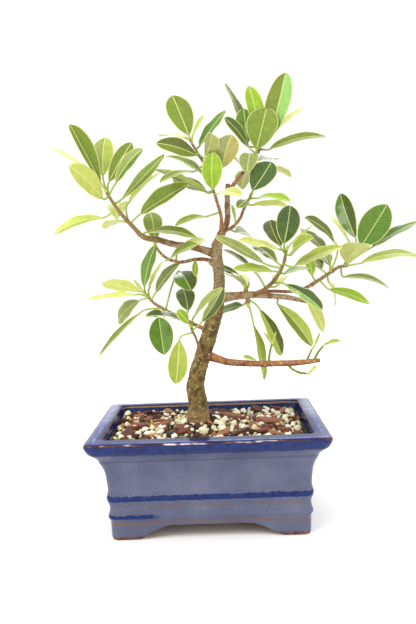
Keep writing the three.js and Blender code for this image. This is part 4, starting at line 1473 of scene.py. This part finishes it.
def lenticels(rng, length, spacing):
    """Small corky dots on bark: [distance along, angle, radius]."""
    dots = []
    for _ in range(int(length / spacing)):
        dots.append((rng.uniform(0, length), rng.uniform(0, 2 * math.pi), rng.uniform(0.22, 0.6)))
    return dots


def dot_at(dots, along, angle, limb_radius):
    """1 on a corky dot and 0 away from them all."""
    most = 0.0
    for at, dot_angle, dot_radius in dots:
        gap = (angle - dot_angle + math.pi) % (2 * math.pi) - math.pi
        distance = math.hypot(along - at, gap * limb_radius * 0.8)
        most = max(most, math.exp(-((distance / dot_radius) ** 4)))
    return most


# Each kind of bark: its colours, how rough it is, the distances between leaf-scar rings and between corky
# dots, and how much of its radius the limb swells by where it starts.
BARK_KINDS = {
    "trunk": {"shade_at": trunk_shade, "roughness": 0.6, "ring_gap": 16, "dot_gap": 0.4, "collar": 0.0},
    "bark": {"shade_at": branch_shade, "roughness": 0.4, "ring_gap": 6, "dot_gap": 1.4, "collar": 0.35},
    "twig": {"shade_at": twig_shade, "roughness": 0.24, "ring_gap": 6, "dot_gap": 1.4, "collar": 0.35},
    "stem": {"shade_at": stem_shade, "roughness": 0.12, "ring_gap": 5, "dot_gap": 5, "collar": 0.2},
}
BARK_KINDS["young_stem"] = {**BARK_KINDS["stem"], "shade_at": young_stem_shade}


class Bark:
    """One limb's skin: how far it swells out of the plain tube, and its colours."""

    def __init__(self, kind, rng, length, scars):
        self.shade_at = kind["shade_at"]
        self.roughness = kind["roughness"]
        self.collar = kind["collar"]
        self.scars = scars
        self.dots = lenticels(rng, length, kind["dot_gap"])
        self.leaf_scars = []
        place = rng.uniform(0.4, 1.0) * kind["ring_gap"]
        while place < length - 0.5:
            self.leaf_scars.append(place)
            place += kind["ring_gap"] * rng.uniform(0.6, 1.4)
        self.seed = rng.uniform(0, 50)

    def ring(self, point, frame, sides):
        """One ring of points round the limb's middle line, and their colours."""
        along, forward, across, up = frame
        near = [dot for dot in self.dots if abs(dot[0] - along) < 2.5]
        leaf_scar = sum(math.exp(-(((along - place) / 0.5) ** 2)) for place in self.leaf_scars)
        swell_all_round = 0.16 * min(1.0, point.w / 1.2) * leaf_scar
        swell_all_round += self.collar * point.w * math.exp(-along / (1.0 + 0.8 * point.w))
        ring = []
        tints = []
        for angle in turns(sides):
            outward = across * math.cos(angle) + up * math.sin(angle)
            skin = point.xyz + outward * point.w
            wrinkle = noise.noise(Vector((along * 0.9, angle * 0.8, self.seed)))
            grain = noise.noise(Vector((along * 0.35, angle * 2.6, self.seed + 9)))
            knot = noise.noise(skin / 7 + Vector((self.seed, 0, 0)))
            pits = noise.noise(skin / 1.1 + Vector((0, 0, self.seed)))
            dot = dot_at(near, along, angle, point.w)
            scar_swell, scar_middle, scar_ring = scar_relief(skin, self.scars)
            swell = self.roughness * (0.6 * wrinkle + 0.35 * grain + 0.4 * pits) + 0.09 * point.w * knot
            swell += swell_all_round + 0.16 * dot * min(1.0, self.roughness * 2) + scar_swell
            ring.append(point.xyz + outward * (point.w + swell))
            tint = self.shade_at(skin) * (0.86 + 0.28 * cloud(skin, 1.7, 6))
            for name, share in (
                ("crack", 0.55 * smooth_step(0.1, 0.5, -wrinkle) * min(1, self.roughness)),
                ("crack", 0.5 * smooth_step(0.1, 0.45, -pits) * min(1, 2 * self.roughness)),
                ("dot", 0.7 * dot),
                ("tan", 0.6 * scar_ring),
                ("crack", 0.85 * scar_middle),
                ("tan", 0.35 * min(1.0, leaf_scar)),
            ):
                tint = tint.lerp(BARK_SHADES[name], share)
            tints.append(tint)
        return ring, tints


# The rings at a limb's end: [share of the bud's length or of the radius, share of the radius].
BUD_RINGS = [(0.25, 1.15), (0.5, 0.85), (0.8, 0.4)]
CUT_RINGS = [(0.12, 0.82), (0.1, 0.4)]
BUD_SHADE = colour("b9c24e")
BUD_TIP_SHADE = colour("d9a648")


def limb_end(end, frame, sides, bud):
    """The rings and colours that close a limb: a pointed bud this long, or a cut face where it is 0."""
    along, forward, across, up = frame
    cut_shade = BARK_SHADES["crack"].lerp(BARK_SHADES["brown"], 0.4)
    rings = []
    tints = []
    for share, shrink in BUD_RINGS if bud else CUT_RINGS:
        centre = end.xyz + forward * (share * (bud or end.w))
        ring = []
        for angle in turns(sides):
            outward = across * math.cos(angle) + up * math.sin(angle)
            ring.append(centre + outward * end.w * shrink)
            tints.append(BUD_SHADE if bud else cut_shade)
        rings.append(ring)
    rings.append([end.xyz + forward * (bud or 0.1 * end.w)])
    tints.append(BUD_TIP_SHADE if bud else BARK_SHADES["crack"])
    return rings, tints


def limb_piece(name, path, kind, rng, sides, step, scars=(), bud=0.0):
    """A limb's bark: a tube along its smooth path with wrinkles, leaf-scar rings, dots and cut scars."""
    points = smooth_path(path, step)
    frames = frames_along(points)
    bark = Bark(BARK_KINDS[kind], rng, frames[-1][0], scars)
    rings = []
    tints = []
    for point, frame in zip(points, frames):
        ring, ring_tints = bark.ring(point, frame, sides)
        rings.append(ring)
        tints += ring_tints
    end_rings, end_tints = limb_end(points[-1], frames[-1], sides, bud)
    vertices, faces = loft(rings + end_rings)
    piece = Piece(name)
    piece.add(vertices, faces, tint=tints + end_tints)
    return piece


def bark_material():
    shader = Shader("bark")
    place = shader.object_coordinates()
    fine = shader.noise(place, 0.45, 4, 0.7)
    plates = shader.noise(shader.object_coordinates((1, 1, 2.2)), 1.5, 3, 0.6)
    light = shader.ramp(fine, [(0.28, Vector((0.5, 0.48, 0.45))), (0.62, Vector((1.12, 1.1, 1.06)))])
    crevices = shader.rise(plates, 0.42, 0.3)
    shade = shader.paint(shader.tinted(light), colour("2e2416"), crevices, 0.5)
    return shader.finish(shade, roughness=0.82, normal=shader.bump(shader.plus(fine, plates), 0.35))


def stem_material():
    shader = Shader("young_bark")
    place = shader.object_coordinates()
    fine = shader.noise(place, 0.5, 3, 0.6)
    light = shader.ramp(fine, [(0.3, Vector((0.75, 0.72, 0.7))), (0.65, Vector((1.1, 1.08, 1.05)))])
    return shader.finish(shader.tinted(light), roughness=0.6, normal=shader.bump(fine, 0.15))


def sides_for(path):
    """How many sides the tube of a limb needs for its thickness."""
    thickest = max(radius for x, y, z, radius in path)
    return 72 if thickest > 5 else 30 if thickest > 1.8 else 18


def make_wood(rng):
    materials = {"bark": bark_material(), "twig": stem_material()}
    for name in WOOD:
        path = LIMBS[name]["path"]
        look = WOOD[name]["look"]
        is_trunk = name == "trunk"
        piece = limb_piece(
            name + "_wood", path, "trunk" if is_trunk else look, rng, sides_for(path), 0.6,
            scars=PRUNING_SCARS if is_trunk else (),
        )
        piece.build([materials[look]], look, name)


# ---------------------------------------------------------------- leaves

STALK_RADIUS = 0.62
STALK_END_MARGIN = 2.3
LEAF_THICKNESS = 0.42
BUD_LENGTH = 4.5

# A blade is a grid of this many steps from base to tip and this many columns of points across.
LEAF_ROWS = 26
LEAF_COLUMNS = 13
MIDRIB_COLUMN = 6
MARGIN_COLUMNS = {0: 1.0, 1: 0.6, 11: 0.6, 12: 1.0}

# Leaf colours. The dark one also paints the shade on leaves that lie in the shadow of others.
LEAF_SHADES = {
    "pale": colour("b2ba5a"),
    "light": colour("96a63e"),
    "mid": colour("6c8226"),
    "green": colour("4f761e"),
    "olive": colour("66781e"),
    "dark_olive": colour("525e1c"),
    "grey": colour("869250"),
    "grey_dark": colour("606c34"),
    "dark": colour("3c5610"),
    "deep": colour("2c5210"),
    "bright": colour("86a824"),
    "young": colour("7ea01c"),
    "yellow": colour("ccce62"),
    "mint": colour("84b258"),
    # tan is a painted warm reflection, used for one half of a glossy leaf.
    "tan": colour("aa9450"),
}
MARGIN_SHADE = colour("dbdb86")
UNDERSIDE_SHADE = colour("b6b87a")


def nearest_on_path(path, point):
    """The point of a limb's middle line nearest to a place, a little away from the limb's two ends."""
    best = None
    for i in range(len(path) - 1):
        start = corner(path[i])
        end = corner(path[i + 1])
        along = (end - start).normalized() * STALK_END_MARGIN
        if i == 0:
            start = start + along
        if i + 2 == len(path):
            end = end - along
        share, place = nearest_on_line(start, end, point)
        if best is None or (place - point).length < (best - point).length:
            best = place
    return best


def column_places(half):
    """Distances from the midrib, close together at the midrib and at the margin."""
    rib = min(0.5, 0.2 * half)
    margin = min(0.5, 0.22 * half)
    rim = min(1.0, 0.42 * half)
    right = [rib, mix(rib, half - rim, 0.33), mix(rib, half - rim, 0.67), half - rim, half - margin, half]
    return [-place for place in reversed(right)] + [0.0] + right


def leaf_shades(look):
    names = look.rstrip("+!").split("/")
    return LEAF_SHADES[names[0]], LEAF_SHADES[names[-1]]


def is_glossy(look):
    """Glossy where a look says so, and where it is deep green or half dark."""
    return "!" in look or "deep" in look or ("dark" in look.split("/") and "/" in look)


class Blade:
    """One leaf's blade: where it lies, and how it folds, waves, twists, curls and bends."""

    def __init__(self, leaf, is_folded, rng):
        base, tip = Vector(leaf[0:3]), Vector(leaf[3:6])
        facing = Vector(leaf[7:10])
        self.base = base
        self.width, self.arch = leaf[6], leaf[10]
        self.length = (tip - base).length
        self.axis = (tip - base).normalized()
        self.normal = (facing - self.axis * facing.dot(self.axis)).normalized()
        self.across = self.axis.cross(self.normal)
        shortness = min(1, self.length / 30)
        self.fold = rng.uniform(0.35, 0.5) if is_folded else rng.uniform(0.05, 0.2)
        self.base_power, self.tip_power = rng.uniform(0.68, 0.85), rng.uniform(0.5, 0.72)
        self.waves, self.phase = rng.uniform(1.5, 3), rng.uniform(0, 2 * math.pi)
        self.wave_height = rng.uniform(0.1, 0.45) * min(1, self.width / 12)
        self.twist = rng.uniform(-0.14, 0.14)
        self.curl = rng.uniform(0.0, 2.2) * shortness
        self.bend = rng.uniform(-1.0, 1.0) * shortness
        self.shine = rng.uniform(0.92, 1.08)

    def half_width(self, t):
        """Half the width at a share t of the way from the base to the tip."""
        widest = self.base_power / (self.base_power + self.tip_power)
        most = widest ** self.base_power * (1 - widest) ** self.tip_power
        share = t ** self.base_power * (1 - t) ** self.tip_power / most
        return max(0.12, self.width / 2 * share)

    def point(self, t, place, half):
        """The point of the upper side at a share t of the length and this far from the midrib."""
        to_margin = place / half
        groove = 0.18 * math.exp(-((place / 0.5) ** 2)) * (1 - t)
        phase = self.phase + (1.6 if place > 0 else 0)
        wave = self.wave_height * math.sin(2 * math.pi * self.waves * t + phase) * abs(to_margin) ** 3
        lift = self.fold * abs(place) ** 1.15 - groove + wave
        side = place * (1 - 0.35 * self.fold * self.fold) + self.bend * 4 * t * (1 - t)
        rise = lift + 4 * t * (1 - t) * self.arch - self.curl * t ** 3
        turn = self.twist * (t - 0.3)
        sideways = side * math.cos(turn) - rise * math.sin(turn)
        outward = rise * math.cos(turn) + side * math.sin(turn)
        return self.base + self.axis * (t * self.length) + self.across * sideways + self.normal * outward


def blade_thickness(t, place, half):
    """Thickest at the midrib, whose ridge stands out underneath and fades towards the tip."""
    ridge = 0.35 * math.exp(-((place / 0.55) ** 2)) * (1 - 0.8 * t)
    return LEAF_THICKNESS * (1 - 0.6 * abs(place / half)) + ridge


def blade_faces():
    """The faces of a blade's upper side, its lower side and its edge, for points in that order."""
    count = (LEAF_ROWS + 1) * LEAF_COLUMNS
    faces = []
    for row in range(LEAF_ROWS):
        first = row * LEAF_COLUMNS
        for a in range(first, first + LEAF_COLUMNS - 1):
            b = a + LEAF_COLUMNS
            faces.append((a, a + 1, b + 1, b))
            faces.append((count + b, count + b + 1, count + a + 1, count + a))
        for a in (first, first + LEAF_COLUMNS - 1):
            faces.append((a, a + LEAF_COLUMNS, count + a + LEAF_COLUMNS, count + a))
    for start in (0, LEAF_ROWS * LEAF_COLUMNS):
        for a in range(start, start + LEAF_COLUMNS - 1):
            faces.append((a, a + 1, count + a + 1, count + a))
    return faces


def add_blade(piece, leaf, look, rng):
    """The blade: an upper and a lower skin joined along the margin."""
    blade = Blade(leaf, "+" in look, rng)
    first, second = leaf_shades(look)
    upper, lower, tints, ribs, margins, places = [], [], [], [], [], []
    for row in range(LEAF_ROWS + 1):
        t = mix(0.004, 0.997, (row / LEAF_ROWS) ** 1.05)
        half = blade.half_width(t)
        for column, place in enumerate(column_places(half)):
            point = blade.point(t, place, half)
            upper.append(point)
            lower.append(point - blade.normal * blade_thickness(t, place, half))
            # Different shades on the two halves paint light on one half and shade on the other.
            tint = first.lerp(second, smooth_step(-0.12, 0.12, place)) * blade.shine
            tints.append(tint * (0.93 + 0.14 * cloud(point, 8, 2)))
            ribs.append(1.0 if column == MIDRIB_COLUMN else 0.0)
            margins.append(MARGIN_COLUMNS.get(column, 0.0))
            places.append((place / half, t))
    under = [tint.lerp(UNDERSIDE_SHADE, 0.55) for tint in tints]
    piece.add(
        upper + lower, blade_faces(), places=places * 2, tint=tints + under, rib=ribs * 2,
        margin=margins * 2,
    )


def add_stalk(piece, leaf, path, radius, shade):
    """The stalk: a thin bowed tube from the middle of the stem into the blade's base."""
    base, tip = Vector(leaf[0:3]), Vector(leaf[3:6])
    axis = (tip - base).normalized()
    start = nearest_on_path(path, base)
    reach = (start - base).length
    bend = base - axis * 0.35 * reach
    steps = 10
    points = []
    for step in range(steps + 1):
        t = step / steps
        point = start * (1 - t) ** 2 + bend * 2 * t * (1 - t) + base * t * t
        foot = 0.35 * math.exp(-t * reach / 1.4)
        points.append(Vector((*point, radius * (1 + foot))))
    points.append(Vector((*(base + axis * 1.6), radius * 0.5)))
    rings = []
    for point, (along, forward, across, up) in zip(points, frames_along(points)):
        ring = []
        for angle in turns(8):
            ring.append(point.xyz + (across * math.cos(angle) + up * math.sin(angle)) * point.w)
        rings.append(ring)
    vertices, faces = loft(rings)
    piece.add(vertices, faces, material=1, tint=shade, rib=0.0, margin=0.0)


def leaf_material(name, roughness, coat):
    """Leathery leaf: mottled green, faint side veins, and a pale midrib and margin."""
    shader = Shader(name)
    place = shader.object_coordinates()
    mottle = shader.noise(place, 3.5, 3)
    fine = shader.noise(place, 0.6, 2)
    light = shader.ramp(mottle, [(0.3, Vector((0.84, 0.86, 0.8))), (0.7, Vector((1.1, 1.08, 1.05)))])
    spots = shader.node("ShaderNodeUVMap", uv_map="places")
    axes = shader.node("ShaderNodeSeparateXYZ")
    shader.put(axes.inputs["Vector"], spots.outputs["UV"])
    slant = shader.times(shader.maths("ABSOLUTE", axes.outputs["X"]), 11)
    phase = shader.maths("SUBTRACT", shader.times(axes.outputs["Y"], 95), slant)
    wobbly = shader.plus(phase, shader.times(mottle, 5))
    veins = shader.rise(shader.maths("SINE", wobbly), 0.6, 1.0)
    net = shader.rise(shader.cells(place, 1.3), 0.25, 0.7)
    margin = shader.rise(shader.plus(shader.number("margin"), shader.times(fine, 0.06)), 0.45, 0.95)
    shade = shader.paint(shader.tinted(light), colour("d3d68c"), veins, 0.07)
    shade = shader.paint(shade, colour("e0e0a0"), net, 0.05)
    shade = shader.paint(shade, colour("dcdc8a"), shader.number("rib"), 0.8)
    shade = shader.paint(shade, MARGIN_SHADE, margin, 0.9)
    height = shader.plus(shader.times(veins, 0.4), shader.times(net, 0.4))
    return shader.finish(shade, roughness=roughness, normal=shader.bump(height, 0.02), coat=coat, ior=1.3)


def stalk_material():
    shader = Shader("leaf_stalk")
    fine = shader.noise(shader.object_coordinates(), 0.8, 2)
    light = shader.ramp(fine, [(0.3, Vector((0.85, 0.88, 0.8))), (0.7, Vector((1.08, 1.06, 1.0)))])
    return shader.finish(shader.tinted(light), roughness=0.45)


# Shoots that another shoot grows on from, which therefore have no bud at their end.
PARENTS = {name for shoot in SHOOTS.values() for name in shoot["from"]}


def make_shoots(rng):
    satin = leaf_material("satin_leaf", 0.42, 0.0)
    glossy = leaf_material("glossy_leaf", 0.2, 0.4)
    stalk = stalk_material()
    stem = stem_material()
    for name in SHOOTS:
        shoot = LIMBS[name]
        young = shoot.get("young", False)
        slot = "young_leaf" if young else "leaf"
        path = shoot.get("path")
        if path:
            bud = 0.0 if name in PARENTS else BUD_LENGTH
            kind = "young_stem" if young else "stem"
            piece = limb_piece(name + "_stem", path, kind, rng, sides=16, step=0.5, bud=bud)
            piece.build([stem], slot, name)
        carrier = path or LIMBS[shoot["from"][0]]["path"]
        for number, (leaf, look) in enumerate(zip(shoot["leaves"], shoot["looks"].split())):
            piece = Piece(f"{name}_leaf_{number + 1}")
            add_blade(piece, leaf, look, rng)
            green = colour("a9bb4c").lerp(colour("7d9636"), rng.random())
            add_stalk(piece, leaf, carrier, STALK_RADIUS * (0.7 if young else 1), green)
            piece.build([glossy if is_glossy(look) else satin, stalk], slot, name)


# ---------------------------------------------------------------- the whole object

make_camera()
make_studio()
make_floor()
make_pot()
make_soil_bed()
grain_rng = random.Random(11)
taken_places = []
make_bark_chips(grain_rng, taken_places)
for grain_name in ("perlite", "pale_grit", "bark_crumbs", "humus_crumbs"):
    make_grains(grain_name, grain_rng, taken_places)
make_drain_screen("drain_screen_left", -1)
make_drain_screen("drain_screen_right", 1)
make_wood(random.Random(5))
make_shoots(random.Random(8))
